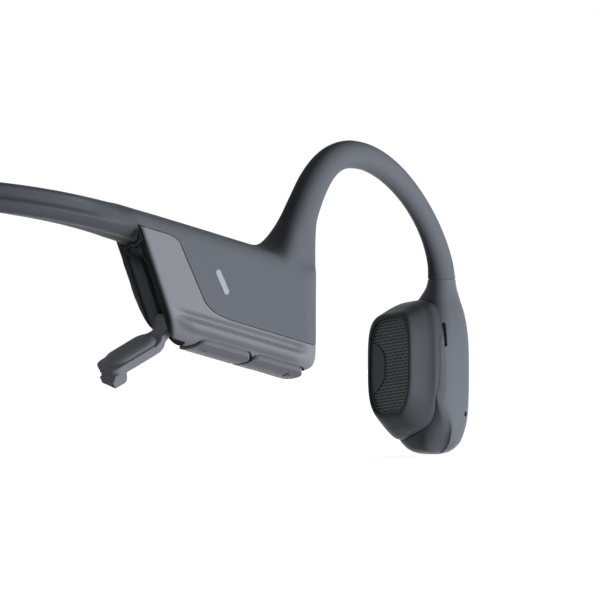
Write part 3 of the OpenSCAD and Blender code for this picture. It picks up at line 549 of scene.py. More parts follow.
# Each place: rounds of averaging, and the weight of a point at x, y and z on the pod.
SOFT_PLACES = {
    "stem root": (26, lambda x, y, z: fade(y, -2, 15, 3) * fade(z, 2, 12.5, 3)),
    "stem front": (60, lambda x, y, z: fade(y + STEM_LEAN * z, 8.2, 11, 1.6) * fade(z, 5, 10, 2)),
    "stem top": (50, lambda x, y, z: fade(y, 2, 30, 3) * fade(z, 12.5, 18, 2.5)),
    "band root": (90, lambda x, y, z: fade(y - end_y(z), -5, 4, 4) * fade(z, 7.4, 12, 1.2)),
    "end edge": (36, end_edge),
    "front corner": (36, lambda x, y, z: fade(y, 12, 30, 2.5) * fade(z, -9, -3, 2)),
}
for name, (rounds, weight) in SOFT_PLACES.items():
    weights = weight(*pod.local(corners(skin)).T)
    ease(skin, rounds, weights, shrink=True)
    print("softened", int((weights > 0.5).sum()), "points,", name)

# %% [markdown]
# Along the pod's foot, just below the seam, a shallow groove and a soft roll run from the end face to
# the front. A sculpt brush or a bevel profile could press them in. They follow the height on the pod
# alone, so the finished skin's points are simply moved sideways by a smooth step up and down.

# %% Groove and roll along the foot
FOOT_RELIEF = 0.8
GROOVE_TOP, ROLL_TOP, ROLL_CREST = 2.8, 3.75, 4.6
spots = pod.local(corners(skin))
x, y, z = spots.T
past_groove = step_up(-z, ROLL_TOP, ROLL_CREST)
groove = step_up(-z, GROOVE_TOP, ROLL_TOP) * (1 - past_groove)
roll = past_groove * (1 - step_up(-z, 5, 6.3))
length = step_up(from_end(y, z), 0.8, 3.4) * (1 - step_up(y, 10.5, 14))
spots[:, 0] += FOOT_RELIEF * (roll - groove) * length * np.sign(x)
set_corners(skin, pod.point(spots))
print("roll along the foot moves", int((roll > 0.5).sum()), "points")

# %% [markdown]
# One form holds the whole skin, and now it is parted as the real one is: the band ends at the end face,
# and a seam parts the soft cover above from the harder housing below. The parts could be modelled one
# by one. Cut from a surface that was eased as one, they meet exactly, and the seam is only a fine line.
# A notch below the band leaves room for the flap's lip when it is closed.

# %% Part the form along its seams
SEAM = [(-16.4, 7), (-14.9, 6.6), (-13.8, 5.7), (-8, -0.1), (-6.4, -1.45), (-4.4, -2.25), (-1.6, -2.6)]
SEAM_GAP = 0.05
BAND_FOOT = 2.45
END_TRIM = 0.15


def seam_outline(drop):
    turns = np.array(SEAM)
    curve = between(np.column_stack([turns, np.zeros(len(turns))]), 6)[:, :2]
    shift = np.column_stack([np.zeros(len(curve)), np.full(len(curve), -drop)])
    below_top = np.clip((6.8 - curve[:, 1]) / 1.2, 0, 1)
    above_foot = np.clip((curve[:, 1] + 2.4) / 1.2, 0, 1)
    shift[:, 0] -= drop * below_top * above_foot
    line = (curve + shift).tolist()
    return [(FAR, -FAR), (FAR, -2.9 - drop)] + line[::-1] + [(-FAR, 7 - drop), (-FAR, -FAR)]


def behind_end(name):
    return prism(name, box(-200, 60, BAND_FOOT, 60), 0, 150, end_view)


band_half = twin(skin, "band_half")
combine(band_half, behind_end("band_side"), "INTERSECT")
end_side = end_view.view(Y, Z)
cut(band_half, "lip_room", box(2, 3.75, -1, 1.65), -1.65, 3.2, end_side)
cut(band_half, "middle_cut", box(0, 300, -300, 300), -300, 300, Axes((0, 0, 0), X, Y), "INTERSECT")
combine(skin, behind_end("pod_side"))
cover = twin(skin, "right_cover_skin")
cut(cover, "seam_upper", seam_outline(-SEAM_GAP), -60, 60, side_view)
housing = skin
housing.name = "right_pod_housing"
cut(housing, "seam_lower", seam_outline(SEAM_GAP), -60, 60, side_view, "INTERSECT")
cut(housing, "end_trim", box(-60, 60, -90, 60), -END_TRIM, 30, end_view)
for part in (cover, housing, band_half):
    print(part.name, round(volume(part)), "cubic mm")

# %% [markdown]
# The pods are hollow for the boards and the battery, and bores carry the wires.
# A Solidify modifier would follow every groove of the outside on the inside too. Plain hollows and bores
# are cut last instead, with coarse tools, because nobody looks into them.

# %% Hollow the pods and bore the wireways
WALL, END_WALL = 1.2, 4.6
HOOK_BORE = 2.36
BAND_BORE = (2.92, 1.6)
POD_REACH = 8.3


def band_core_ring(t, width, height, steps=12):
    middle, side, up, way = band_frame(max(0.0, t))
    a = np.arange(steps) * 2 * math.pi / steps
    middle = middle + way * min(0.0, t) * POD_REACH
    return middle + np.outer(np.cos(a) * width / 2, side) + np.outer(np.sin(a) * height / 2, up)


def band_bore(name):
    places = np.concatenate([[-1.12], np.linspace(0, 1, 16)])
    rings = [band_core_ring(t, *BAND_BORE) for t in places]
    return loft(name, rings + [rings[-1] - X])


def hook_bore(name):
    rings = [hook_ring(0, HOOK_BORE, -9, 6)]
    rings += [hook_ring(t, HOOK_BORE, 0, 6) for t in hook_places]
    return loft(name, rings + [hook_ring(2, HOOK_BORE, 4.5, 6)])


for half in (cover, housing):
    combine(half, pod_form("hollow", WALL, END_WALL, 8))
    combine(half, band_bore("band_bore"))
combine(cover, hook_bore("hook_bore"))
combine(band_half, band_bore("sleeve_bore"))
left_cover = mirrored(cover, "left_cover_skin")
left_housing = mirrored(housing, "left_pod_housing")
band_other = mirrored(band_half, "band_other")
print("hollow cover", round(volume(cover)), "hollow housing", round(volume(housing)))

# %% [markdown]
# The band is one sleeve from pod to pod, so its two halves are made one skin. A Boolean union of two
# solids that only touch can fail. The end faces at the middle are left out instead, and a Weld modifier
# joins the rims.


# %% Join the two halves of the band
def join_halves(first, second, name):
    points = np.concatenate([corners(first), corners(second)])
    faces = []
    start = 0
    for half in (first, second):
        for face in half.data.polygons:
            if max(abs(half.data.vertices[v].co.x) for v in face.vertices) > 1e-4:
                faces.append(tuple(v + start for v in face.vertices))
        start += len(half.data.vertices)
    joined = make(name, points, faces)
    weld = joined.modifiers.new("weld", "WELD")
    weld.merge_threshold = 0.002
    settle(joined)
    for half in (first, second):
        bpy.data.objects.remove(half)
    return joined


band = join_halves(band_half, band_other, "neckband_skin")
print("band", round(volume(band)), "cubic mm,", len(band.data.polygons), "faces")

# %% [markdown]
# The charging port opens in the leaning end face: a shallow recess for the flap, a mouth round the
# connector and a slot with a round seat for the flap's hinge barrel. Each is cut with a plain prism
# square to that face, as the slides of a mould would do it.

# %% Charging port
PORT_UP = -2.0
BARREL_UP, BARREL_IN = -9.5, 2.0
SEAT_R, SEAT_HALF = 1.06, 2.95
RECESS_W, RECESS_TOP, RECESS_R, RECESS_DEEP = 6.3, 3.15, 0.3, 2.2
barrel_seat = end_view.view(Y, Z, (0, BARREL_UP, -BARREL_IN))


def barrel_outline(radius):
    return arc((0, 0), radius, 0, 352.5, 47)


recess = bar(RECESS_W, 40, RECESS_R, (0, RECESS_TOP - 20))
cut(housing, "recess", recess, -RECESS_DEEP, 20, end_view)
cut(housing, "mouth", stadium(4, 9.7, (0, PORT_UP)), -2.5, 5, end_view)
cut(housing, "seat", stadium(3.4, 9.1, (0, PORT_UP)), -9, 5, end_view)
cut(housing, "barrel_seat", barrel_outline(SEAT_R), -SEAT_HALF, SEAT_HALF, barrel_seat)
cut(housing, "strap_slot", barrel_outline(2.3), -2, 2, barrel_seat)
print("housing with its port", round(volume(housing)), "cubic mm")

# %% [markdown]
# Two key pockets open below the pod, a little wider than the keys, so a thin gap shows round each, kept dark by
# painted shade on the pocket walls.
# A slit for the status light slants across the cover. Both are prisms again, along the way each piece
# goes in.

# %% Key pockets and light slit
KEY_L, KEY_W, KEY_R, KEY_SLANT = 9.4, 5.0, 1.1, 0.5
KEY_Y = {"volume_down_button": -0.7, "volume_up_button": 9.1}
KEY_LEAN, LIGHT_TURN = math.radians(25), math.pi / 4
POCKET_GAP, POCKET_DEEP, POCKET_FLOOR = 0.3, -8.3, -2.85
ROUND_Z = POD_T / 2 - POD_H / 2
keys_view = pod.view((math.cos(KEY_LEAN), 0, math.sin(KEY_LEAN)), Y, (0, 0, ROUND_Z))


def key_outline(y, grow=0.0):
    outline = []
    for sx, sy, start in QUARTERS:
        centre = (sx * (KEY_W / 2 - KEY_R), y + sy * (KEY_L / 2 - KEY_R) + sx * KEY_SLANT)
        outline += arc(centre, KEY_R + grow, start, start + 90, 12)
    return outline


for y in KEY_Y.values():
    cut(housing, "key_pocket", key_outline(y, POCKET_GAP), POCKET_DEEP, POCKET_FLOOR, keys_view)
slit_along = (math.cos(LIGHT_TURN), -math.sin(LIGHT_TURN), 0)
slit_up = (math.sin(LIGHT_TURN), math.cos(LIGHT_TURN), 0)
light_view = pod.view(Y, Z, (0, -5.2, 2.5)).view(slit_along, slit_up)
cut(cover, "light_slit", lying(0.9, 4.4), 0, 9, light_view)
print("housing with its pockets", round(volume(housing)), "cubic mm")

# %% [markdown]
# The transducer's shell is a rounded block that narrows into a round neck. Its rear outer corner is
# sharper than the rest, so a thin ridge catches the light there, and lower down that corner sweeps
# forward. A subdivided cube would round everything alike, so the shell is a loft over ovals whose
# squareness changes with height and direction.

# %% Transducer shells
HALF_D, SHELL_H = 3.8, 27.4
REAR_SWEEP, RIDGE_SQUARE = 2.6, 3.5
# Each level: height, shift outwards, half width, half depth, squareness.
SHELL_LEVELS = np.array([
    (0, 0, 1.5, 0.8, 2.2), (0.12, 0, 2.6, 1.45, 2.3), (0.5, 0, 3.95, 2.25, 2.4),
    (1.2, 0, 5.1, 2.85, 2.6), (2.4, 0, 6.15, 3.35, 2.8), (5.5, 0, 7.15, 3.75, 3.2),
    (10, 0, 7.5, 3.8, 3.4), (15.4, 0.1, 7.4, 3.8, 3.4), (19, 0.7, 6.6, 3.7, 3.2),
    (22, 1.7, 5.1, 3.4, 2.9), (24.4, 2.8, 3.3, 2.8, 2.5), (26.1, 3.4, 2.4, 2.3, 2.2),
    (27.4, 3.6, 2.15, 2.15, 2),
])


def shell_ring(level, inset=0.0, steps=144):
    z, shift, a, b, square = level
    t = np.radians(np.arange(steps) * 360 / steps)
    corner = np.clip(1 - np.abs((np.degrees(t) - 315) / 45), 0, 1) * fade(z, 6, 17, 3)
    power = 2 / (square + (0 if inset else RIDGE_SQUARE) * corner)
    x = (a - inset) * squared(np.cos(t), power)
    y = (b - inset) * squared(np.sin(t), power)
    outer = np.clip((x - 2) / (a - 2), 0, 1) ** 2 if a > 2.1 else 0.0
    y += REAR_SWEEP * (1 - step_up(z, 3, 9.5)) * outer * step_up(-y / (b - inset), 0, 1)
    y += mix(HALF_D, 3.5, ramp(z, SHELL_H - 9, SHELL_H))
    return transducer.point(np.column_stack([shift + x, y, np.full(steps, z)]))


shell = loft("right_transducer_casing", [shell_ring(level) for level in between(SHELL_LEVELS, 12)])
hollow_levels = SHELL_LEVELS[4:11].copy()
hollow_levels[0, 0] = 1.9
combine(shell, loft("shell_hollow", [shell_ring(level, 1.0, 36) for level in hollow_levels]))
print("transducer casing", round(volume(shell)), "cubic mm")

# %% [markdown]
# The speaker sits in a raised housing on the rear of the shell. Its wall leans in towards the face,
# bulges a little and rolls over into a flat rim. Its outline is squarer above than below,
# and it climbs a little towards the outer side, so it is a loft of sheared ovals and not a bevelled box.

# %% Speaker housings
FACE_Z, GRILLE_RISE = 13.5, 0.4
FACE_SHEAR, FOOT_SHEAR = 0.1, 0.2
GRILLE_W, GRILLE_H, GRILLE_SQUARE = 10.6, 14.8, 3.4
# Each level: depth, half width, lowest and highest point, squareness above and below.
BOSS_LEVELS = [
    (1.2, 6.95, 2.9, 24, 3.8, 3.2), (0.4, 6.95, 2.9, 24, 3.8, 3.2),
    (0, 6.9, 2.95, 23.95, 3.8, 3.2), (-0.5, 6.66, 3.05, 23.8, 3.8, 3.2),
    (-1, 6.48, 3.25, 23.6, 3.8, 3.15), (-1.6, 6.34, 3.6, 23.35, 3.9, 3.1),
    (-2.3, 6.22, 4.1, 23, 3.9, 3.05), (-3.1, 6.14, 4.8, 22.55, 4, 3),
    (-3.7, 6.08, 5.4, 22.25, 4, 3), (-3.95, 6, 5.7, 22.05, 4, 3),
    (-4.07, 5.9, 5.9, 21.9, 4, 3), (-4.1, 5.78, 6.02, 21.8, 4, 3),
]
BOSS_FACE = -BOSS_LEVELS[-1][0]
face_view = transducer.view(X, Z, (0, 0, FACE_Z))
grille_view = transducer.view(X, Z, (0, 0, FACE_Z + GRILLE_RISE))


def oval(width, height, top, bottom=None, steps=120):
    """Outline between an oval and a rectangle, as square above and below as asked."""
    t = (np.arange(steps) + 0.5) * 2 * math.pi / steps
    power = 2 / np.where(np.sin(t) > 0, top, bottom or top)
    outline = [width / 2 * squared(np.cos(t), power), height / 2 * squared(np.sin(t), power)]
    return np.column_stack(outline).tolist()


def boss_ring(level, grow=0.0):
    y, half_w, low, high, top, bottom = level
    x, z = np.array(oval(2 * (half_w + grow), high - low + 2 * grow, top, bottom, 168)).T
    foot = FOOT_SHEAR * ramp(-y, BOSS_FACE, 0) * np.clip(-2 * z / (high - low), 0, 1)
    rise = (low + high) / 2 + z + (FACE_SHEAR + foot) * x
    return transducer.point(np.column_stack([x, np.full(len(x), y), rise]))


def boss_form(name, grow=0.0, parts=6):
    return loft(name, [boss_ring(level, grow) for level in between(BOSS_LEVELS, parts)])


def skewed(made):
    """Slide a piece of the face up towards its outer side, as the face is."""
    spots = transducer.local(corners(made))
    spots[:, 2] += FACE_SHEAR * spots[:, 0]
    set_corners(made, transducer.point(spots))
    return made


boss = boss_form("right_speaker_surround")
cut(boss, "speaker_room", bar(10, 13.4, 3.6), -2.2, 2.65, face_view)
cut(boss, "speaker_mouth", bar(8.8, 12.2, 3), -1.3, 6, face_view)
combine(boss, skewed(prism("grille_seat", oval(10.8, 15, GRILLE_SQUARE), 3.35, 6, grille_view)))
print("speaker surround", round(volume(boss)), "cubic mm")

# %% [markdown]
# The shell opens for the speaker housing, the cheek pad, a microphone hole, a narrow vent and a pin hole
# low on its outer side. A wedge taken off its rear corner leaves the ridge beside the housing.
# The openings could be painted dark, but real ones hold their shade from any side.
# The left transducer is the mirror image.

# %% Openings of the shells
PAD_Z = 11.4
HOLE_STEPS = (0, 345, 23)
RIDGE_CUTS = ((4.5, 0.02), (8.5, 1), (19, 1), (22, 0.02))
pad_view = transducer.view(Y, Z, (0, HALF_D, PAD_Z))
vent_view = transducer.view(Y, Z, (0, 1.75, 18.8))
pin_view = transducer.view(Y, Z, (0, 5.6, 6.4))


def ridge_ring(z, depth):
    """Wedge that takes the rear outer corner off the shell and leaves a ridge beside the surround."""
    x = 7.5 - 0.7 * depth
    outline = [(x, 0.45 * depth), (7.55, 2 * depth), (9, 2 * depth), (9, -2), (x, -2)]
    return transducer.point([(a, b, z) for a, b in outline])


combine(shell, boss_form("boss_place", 0.07, 2))
cut(shell, "pad_place", stadium(4.8, 14.4), -20, -5.2, pad_view)
cut(shell, "mic_hole", arc((4.2, 6.1 - FACE_Z), 0.45, *HOLE_STEPS), -9, -5.6, face_view)
cut(shell, "vent", stadium(0.5, 3.8), 5.1, 9, vent_view)
cut(shell, "pin_hole", arc((0, 0), 0.4, *HOLE_STEPS), 6.6, 9, pin_view)
combine(shell, loft("ridge_cut", [ridge_ring(z, depth) for z, depth in RIDGE_CUTS]))
combine(shell, hook_bore("neck_bore"))
left_shell = mirrored(shell, "left_transducer_casing")
left_boss = mirrored(boss, "left_speaker_surround")
print("opened casing", round(volume(shell)), "cubic mm")

# %% [markdown]
# Every finish is a node material. Nodes could be placed and linked one by one, which is long to read.
# Here expressions on numbers are plain Python: a small class wraps a socket, each operator on it
# adds a Math node, and one method adds any other node.


# %% Shader expressions
class Value:
    """A socket's value, on which arithmetic adds Math nodes."""

    def __init__(self, tree, socket):
        self.tree = tree
        self.socket = socket

    def math(self, how, a, b=0.0):
        return self.tree.node("ShaderNodeMath", {"operation": how}, {0: a, 1: b})

    def __add__(self, other):
        return self.math("ADD", self, other)

    def __sub__(self, other):
        return self.math("SUBTRACT", self, other)

    def __rsub__(self, other):
        return self.math("SUBTRACT", other, self)

    def __mul__(self, other):
        return self.math("MULTIPLY", self, other)

    __radd__ = __add__
    __rmul__ = __mul__


class Nodes:
    """A node tree to which one method adds any node."""

    def __init__(self, tree):
        self.tree = tree

    def node(self, kind, settings, sockets, output=0):
        made = self.tree.nodes.new(kind)
        for key, value in settings.items():
            setattr(made, key, value)
        for key, value in sockets.items():
            if isinstance(value, Value):
                self.tree.links.new(value.socket, made.inputs[key])
            else:
                made.inputs[key].default_value = value
        return Value(self, made.outputs[output]) if made.outputs else None


print("shader values ready")

# %% [markdown]
# A finish is a material with one Principled shader. What is the same all over is set on the shader's own
# sockets, and what changes over the surface is fed to them. Patterns read Object coordinates,
# because the pieces have no UV maps and all sit at the origin.


# %% Finishes
class Finish(Nodes):
    """A material with one Principled shader; constants are set on its sockets."""

    def __init__(self, name, **constants):
        self.material = bpy.data.materials.new(name)
        self.material.use_nodes = True
        super().__init__(self.material.node_tree)
        self.shader = self.tree.nodes["Principled BSDF"]
        for key, value in constants.items():
            self.shader.inputs[key.replace("_", " ")].default_value = value

    def feed(self, key, value):
        self.tree.links.new(value.socket, self.shader.inputs[key])

    def place(self):
        return self.node("ShaderNodeTexCoord", {}, {}, "Object")

    def stretched(self, scale):
        return self.node("ShaderNodeMapping", {}, {"Vector": self.place(), "Scale": scale})

    def noise(self, scale, detail=2.0, vector=None):
        sockets = {"Vector": vector or self.place(), "Scale": scale, "Detail": detail}
        return self.node("ShaderNodeTexNoise", {}, sockets)

    def blend(self, amount, a, b):
        return self.node("ShaderNodeMix", {"data_type": "RGBA"}, {0: amount, 6: a, 7: b}, 2)

    def bump(self, height, strength, distance):
        sockets = {"Height": height, "Strength": strength, "Distance": distance}
        self.feed("Normal", self.node("ShaderNodeBump", {}, sockets))


def colour(code, share=1.0):
    """Linear colour of a six-digit screen colour, or a share of it."""
    parts = [int(code[i:i + 2], 16) / 255 for i in (0, 2, 4)]
    linear = [c / 12.92 if c < 0.04045 else ((c + 0.055) / 1.055) ** 2.4 for c in parts]
    return tuple(c * share for c in linear) + (1.0,)


finishes = {}
print("finishes can be mixed")

# %% [markdown]
# Most of the headset is one of two finishes: a matte silicone skin, and a satin moulded plastic a shade
# lighter. Both have a grain a few hundredths of a millimetre deep, a faint cloudiness, and a roughness
# that wanders with it. One recipe makes every moulded finish, so they differ in tone, roughness, grain
# and gloss, and one of them also has painted shade: near-black on the end face of the right housing.

# %% Moulded finishes
CLOUD, CLOUD_SCALE = 0.06, 140
GRAIN_DEPTH = 0.00004
# Near-black colour of painted shade, used on the end face and in the port recess, hinge slot and key pockets.
PAINTED_SHADE_TONE = "222528"
EDGE_INNER, EDGE_OUTER = 0.0009, 0.0001


def moulded(name, tone, rough, grain, relief, gloss=0.5, painted_shade=None):
    finish = Finish(name, Specular_IOR_Level=gloss)
    clouds = finish.noise(CLOUD_SCALE, 3.0)
    fine = finish.noise(grain)
    tint = finish.blend(0.65 * clouds + 0.35 * fine, colour(tone, 1 - CLOUD), colour(tone, 1 + CLOUD))
    # Painted shade: where the mask is one, the base colour turns to the near-black shade tone.
    if painted_shade:
        tint = finish.blend(painted_shade(finish), tint, colour(PAINTED_SHADE_TONE))
    finish.feed("Base Color", tint)
    finish.feed("Roughness", rough + 0.1 * (clouds - 0.5) + 0.08 * (fine - 0.5))
    finish.bump(fine, relief, GRAIN_DEPTH)
    return finish.material


def painted_end_shade(finish):
    """Mask of painted shade: one on the end face round the port, falling to zero over its rounded edge."""
    dot = {0: finish.place(), 1: tuple(end_out)}
    reach = finish.node("ShaderNodeVectorMath", {"operation": "DOT_PRODUCT"}, dot, "Value")
    start = float(end_view.origin @ end_out) * MM
    span = {"Value": reach, "From Min": start - EDGE_INNER, "From Max": start - EDGE_OUTER}
    return finish.node("ShaderNodeMapRange", {"interpolation_type": "SMOOTHSTEP"}, span)


# Each finish: tone, roughness, grain, relief, gloss, place of painted shade.
MOULDED = {
    "silicone_skin": ("6b7078", 0.66, 5200, 0.12, 0.02),
    "satin_shell": ("888b92", 0.58, 4200, 0.12, 0.08),
    # The right housing's shell has painted shade on its end face round the port.
    "satin_shell_painted_end_shade": ("888b92", 0.58, 4200, 0.12, 0.08, painted_end_shade),
    "satin_casing": ("6e737b", 0.5, 4200, 0.12, 0.08),
    "satin_surround": ("4f5359", 0.5, 4200, 0.12, 0.08),
    "flap_rubber": ("7c7f87", 0.66, 6000, 0.12, 0.04),
    "key_cap": ("70737a", 0.5, 4600, 0.12, 0.12),
    # Near-black painted shade for the port recess, the hinge slot and the key pocket walls.
    "painted_recess_shade": (PAINTED_SHADE_TONE, 0.7, 4200, 0.12, 0.04),
    "pad_rubber": ("45484d", 0.7, 6500, 0.2, 0.3),
    "cable_jacket": ("24262a", 0.6, 5000, 0.15),
    "connector_core": ("1d1e20", 0.5, 5000, 0.1),
    "seal_membrane": ("2f3134", 0.6, 5000, 0.15),
    "switch_body": ("c9c9c6", 0.45, 5000, 0.1),
    "speaker_frame": ("1b1c1e", 0.55, 5000, 0.15),
    "diaphragm_film": ("3a3a3a", 0.35, 1800, 0.2),
    "light_emitter": ("f2f1e4", 0.35, 3000, 0.1),
    "grille_plate": ("303235", 0.6, 5000, 0.2, 0.3),
    "grille_thread": ("55595d", 0.5, 3000, 0.2, 0.35),
    "light_window": ("8c98a4", 0.3, 2600, 0.1, 0.2),
}
for name, look in MOULDED.items():
    finishes[name] = moulded(name, *look)
print(len(finishes), "moulded finishes")

# %% [markdown]
# Inside the port there is bright drawn steel, and behind the covers lie boards, magnets, coils and
# wires. Metals get a brushed roughness from a noise stretched along one way, boards get traces from a
# brick pattern, and the coil gets its turns from a wave.


# %% Metals, boards and windings
def brushed(name, tone, rough, scale, metallic=1.0):
    finish = Finish(name, Metallic=metallic)
    lines = finish.noise(1.0, 2.0, finish.stretched(scale))
    finish.feed("Base Color", finish.blend(lines, colour(tone), colour(tone, 0.8)))
    finish.feed("Roughness", rough + 0.2 * (lines - 0.5))
    finish.bump(lines, 0.1, 0.00002)
    return finish.material


def board(name):
    finish = Finish(name, Coat_Weight=0.3)
    sockets = {"Vector": finish.stretched((900, 900, 900)), "Scale": 1.0, "Mortar Size": 0.03}
    traces = finish.node("ShaderNodeTexBrick", {}, sockets, "Fac")
    finish.feed("Base Color", finish.blend(traces, colour("1c4a37"), colour("2f6b4e")))
    finish.feed("Roughness", 0.4 + 0.15 * traces)
    finish.bump(traces, 0.2, 0.00003)
    return finish.material


def winding(name):
    finish = Finish(name, Metallic=0.9)
    sockets = {"Vector": finish.place(), "Scale": 2600.0}
    turns = finish.node("ShaderNodeTexWave", {"bands_direction": "X"}, sockets)
    finish.feed("Base Color", finish.blend(turns, colour("6e3b1d"), colour("b8703d")))
    finish.feed("Roughness", 0.45 - 0.15 * turns)
    finish.bump(turns, 0.4, 0.00004)
    return finish.material


# Each metal: tone, roughness, fineness of the brushing along x, y and z, and how metallic it is.
METALS = {
    "drawn_steel": ("b9bcc0", 0.32, (2000, 300, 2000)),
    "spring_wire": ("b0b3b7", 0.28, (400, 3000, 3000)),
    "stamped_metal": ("8d9094", 0.4, (2500, 500, 500)),
    "gold_contact": ("d8b560", 0.25, (3000, 3000, 500)),
    "plated_magnet": ("a9acb0", 0.22, (600, 600, 3000)),
    "shield_can": ("b4b7ba", 0.3, (300, 2500, 300)),
    "cell_foil": ("9fa3a8", 0.35, (500, 500, 2000), 0.8),
}
for name, look in METALS.items():
    finishes[name] = brushed(name, *look)
finishes["circuit_board"] = board("circuit_board")
finishes["coil_winding"] = winding("coil_winding")
print(len(finishes), "finishes")

# %% [markdown]
# A finished piece goes to metres, gets its finish and smooth shading, with crisp edges only where it
# turns sharply. Then it is parented to the body it rides on, and the CAD solids it stands for are hidden.


# %% Finish a piece
def done(made, finish, body, nodes, sharp=40):
    set_corners(made, corners(made) * MM)
    mesh = made.data
    mesh.polygons.foreach_set("use_smooth", np.ones(len(mesh.polygons), bool))
    mesh.set_sharp_from_angle(angle=math.radians(sharp))
    mesh.materials.clear()
    mesh.materials.append(finishes[finish])
    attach(made, body)
    if nodes:
        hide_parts(*nodes)
    print(made.name, len(mesh.polygons), "faces")


done(band, "silicone_skin", "headset", ["neckband_sleeve"])
done(cover, "silicone_skin", "headset", ["right_cover"])
done(left_cover, "silicone_skin", "headset", ["left_cover"])
# The right housing's finish paints shade onto its end face.
done(housing, "satin_shell_painted_end_shade", "headset", ["right_housing"])
done(left_housing, "satin_shell", "headset", ["left_housing"])

# %% [markdown]
# The recess of the port, the slot of the hinge and the walls of the key pockets get painted shade, a near-black
# second finish where shade falls. They could be pieces of their own. Giving their faces a second finish keeps
# the housing one closed moulding, and each face is told by where its middle lies.

# %% Painted shade in the recesses of the housing
# The second finish is painted shade.
housing.data.materials.append(finishes["painted_recess_shade"])
middles = np.empty(3 * len(housing.data.polygons))
housing.data.polygons.foreach_get("center", middles)
middles = middles.reshape(-1, 3) / MM
x, f, g = end_view.local(middles).T
in_recess = (np.abs(x) < 3.2) & (f < 3.2) & (g < -0.06) & (f > -8)
in_slot = (np.abs(x) < 3.0) & (np.hypot(f - BARREL_UP, g + BARREL_IN) < 2.35)
u, v, w = keys_view.local(middles).T
in_pocket = np.zeros(len(u), bool)
for y in KEY_Y.values():
    along = v - y - KEY_SLANT * np.clip(u / (KEY_W / 2 - KEY_R), -1, 1)
    past_side = np.maximum(np.abs(u) - KEY_W / 2 + KEY_R, 0)
    past_end = np.maximum(np.abs(along) - KEY_L / 2 + KEY_R, 0)
    in_pocket |= (np.hypot(past_side, past_end) < KEY_R + 0.33) & (w > POCKET_DEEP) & (w < -2.8)
dark = in_recess | in_slot | in_pocket
housing.data.polygons.foreach_set("material_index", dark.astype(int))
print(int(dark.sum()), "dark faces")

# %% [markdown]
# The grille is a dark plate in the speaker's rim, with fine wavy threads stretched across it.
# The threads leave a bare place at the middle of the inner side, which stands a little proud.
# The plate, its rim and the bare place are prisms joined into one solid, as a pressed plate would be.

# %% Grille plate
MARGIN = 0.3
BARE_CURVE, BARE_HALF, BARE_EDGE, THREAD_EDGE = 3.6, 4.2, -1.5, -1.3
PLATE_BACK, PLATE_FACE, RIM_FACE = 3.35, 3.6, 3.86


def bare_edge(v):
    """How far the bare place reaches in from the inner side, at a height on the face."""
    return BARE_EDGE - BARE_CURVE * (abs(v) / BARE_HALF) ** 3


edge = oval(GRILLE_W, GRILLE_H, GRILLE_SQUARE)
plate = prism("right_grille_plate", edge, PLATE_BACK, PLATE_FACE, grille_view)
rim = prism("rim", edge, PLATE_BACK, RIM_FACE, grille_view)
opening = oval(GRILLE_W - 2 * MARGIN, GRILLE_H - 2 * MARGIN, GRILLE_SQUARE)
cut(rim, "rim_hole", opening, 3, 5, grille_view)
combine(plate, rim, "UNION")
island = [(bare_edge(v), v) for v in np.linspace(-4.25, 4.25, 40)] + [(-5.15, 4.25), (-5.15, -4.25)]
place = prism("bare_place", island, 3.4, 3.82, grille_view)
cut(place, "inside", edge, 3, 5, grille_view, "INTERSECT")
skewed(combine(plate, place, "UNION"))
left_plate = mirrored(plate, "left_grille_plate")
print("grille plate", round(volume(plate), 1), "cubic mm")

# %% [markdown]
# The threads repeat, so Geometry Nodes suit them best: one thread is repeated up the face,
# each is cut to the outline's width there, and a small wave runs along it.
# The sizes are the tree's named inputs, so another grille needs no new tree.

# %% Places of the grille threads
THREAD_SIZES = {
    "Rows": 28, "Pitch": 0.5, "Half Width": GRILLE_W / 2 - MARGIN, "Half Height": GRILLE_H / 2 - MARGIN,
    "Squareness": GRILLE_SQUARE, "Thread Radius": 0.13, "Wave Height": 0.035, "Wave Length": 1.4,
}
FULL_TURN, HALF_TURN = 6.2832, 3.1416


def wavy_place(tree, size):
    """Where a point of a thread goes: across the face between the bare place and the rim, on a wave."""
    spot = tree.node("GeometryNodeInputPosition", {}, {})
    along = tree.node("ShaderNodeSeparateXYZ", {}, {"Vector": spot}, "X")
    height = tree.node("ShaderNodeSeparateXYZ", {}, {"Vector": spot}, "Z")
    away = height.math("ABSOLUTE", height)
    part = away.math("MINIMUM", away.math("DIVIDE", away, size["Half Height"]), 1.0)
    open_part = 1.0 - away.math("POWER", part, size["Squareness"])
    root = away.math("DIVIDE", 1.0, size["Squareness"])
    reach = size["Half Width"] * away.math("POWER", open_part, root)
    bare = THREAD_EDGE - BARE_CURVE * away.math("POWER", away * (1 / BARE_HALF), 3.0)
    left = away.math("MAXIMUM", -1.0 * reach, bare)
    across = left + along * (reach - left)
    phase = across * FULL_TURN * away.math("DIVIDE", 1.0, size["Wave Length"])
    turn = HALF_TURN * away.math("DIVIDE", height, size["Pitch"])
    wave = size["Wave Height"] * away.math("SINE", phase + turn)
    return tree.node("ShaderNodeCombineXYZ", {}, {"X": across, "Z": height + wave})


print("places of the threads ready")

# %% [markdown]
# The tree itself sets a row of straight threads up the face, makes them real, moves each point to its
# place on the face and runs a thin round section along. It ends in a plain mesh with its finish.


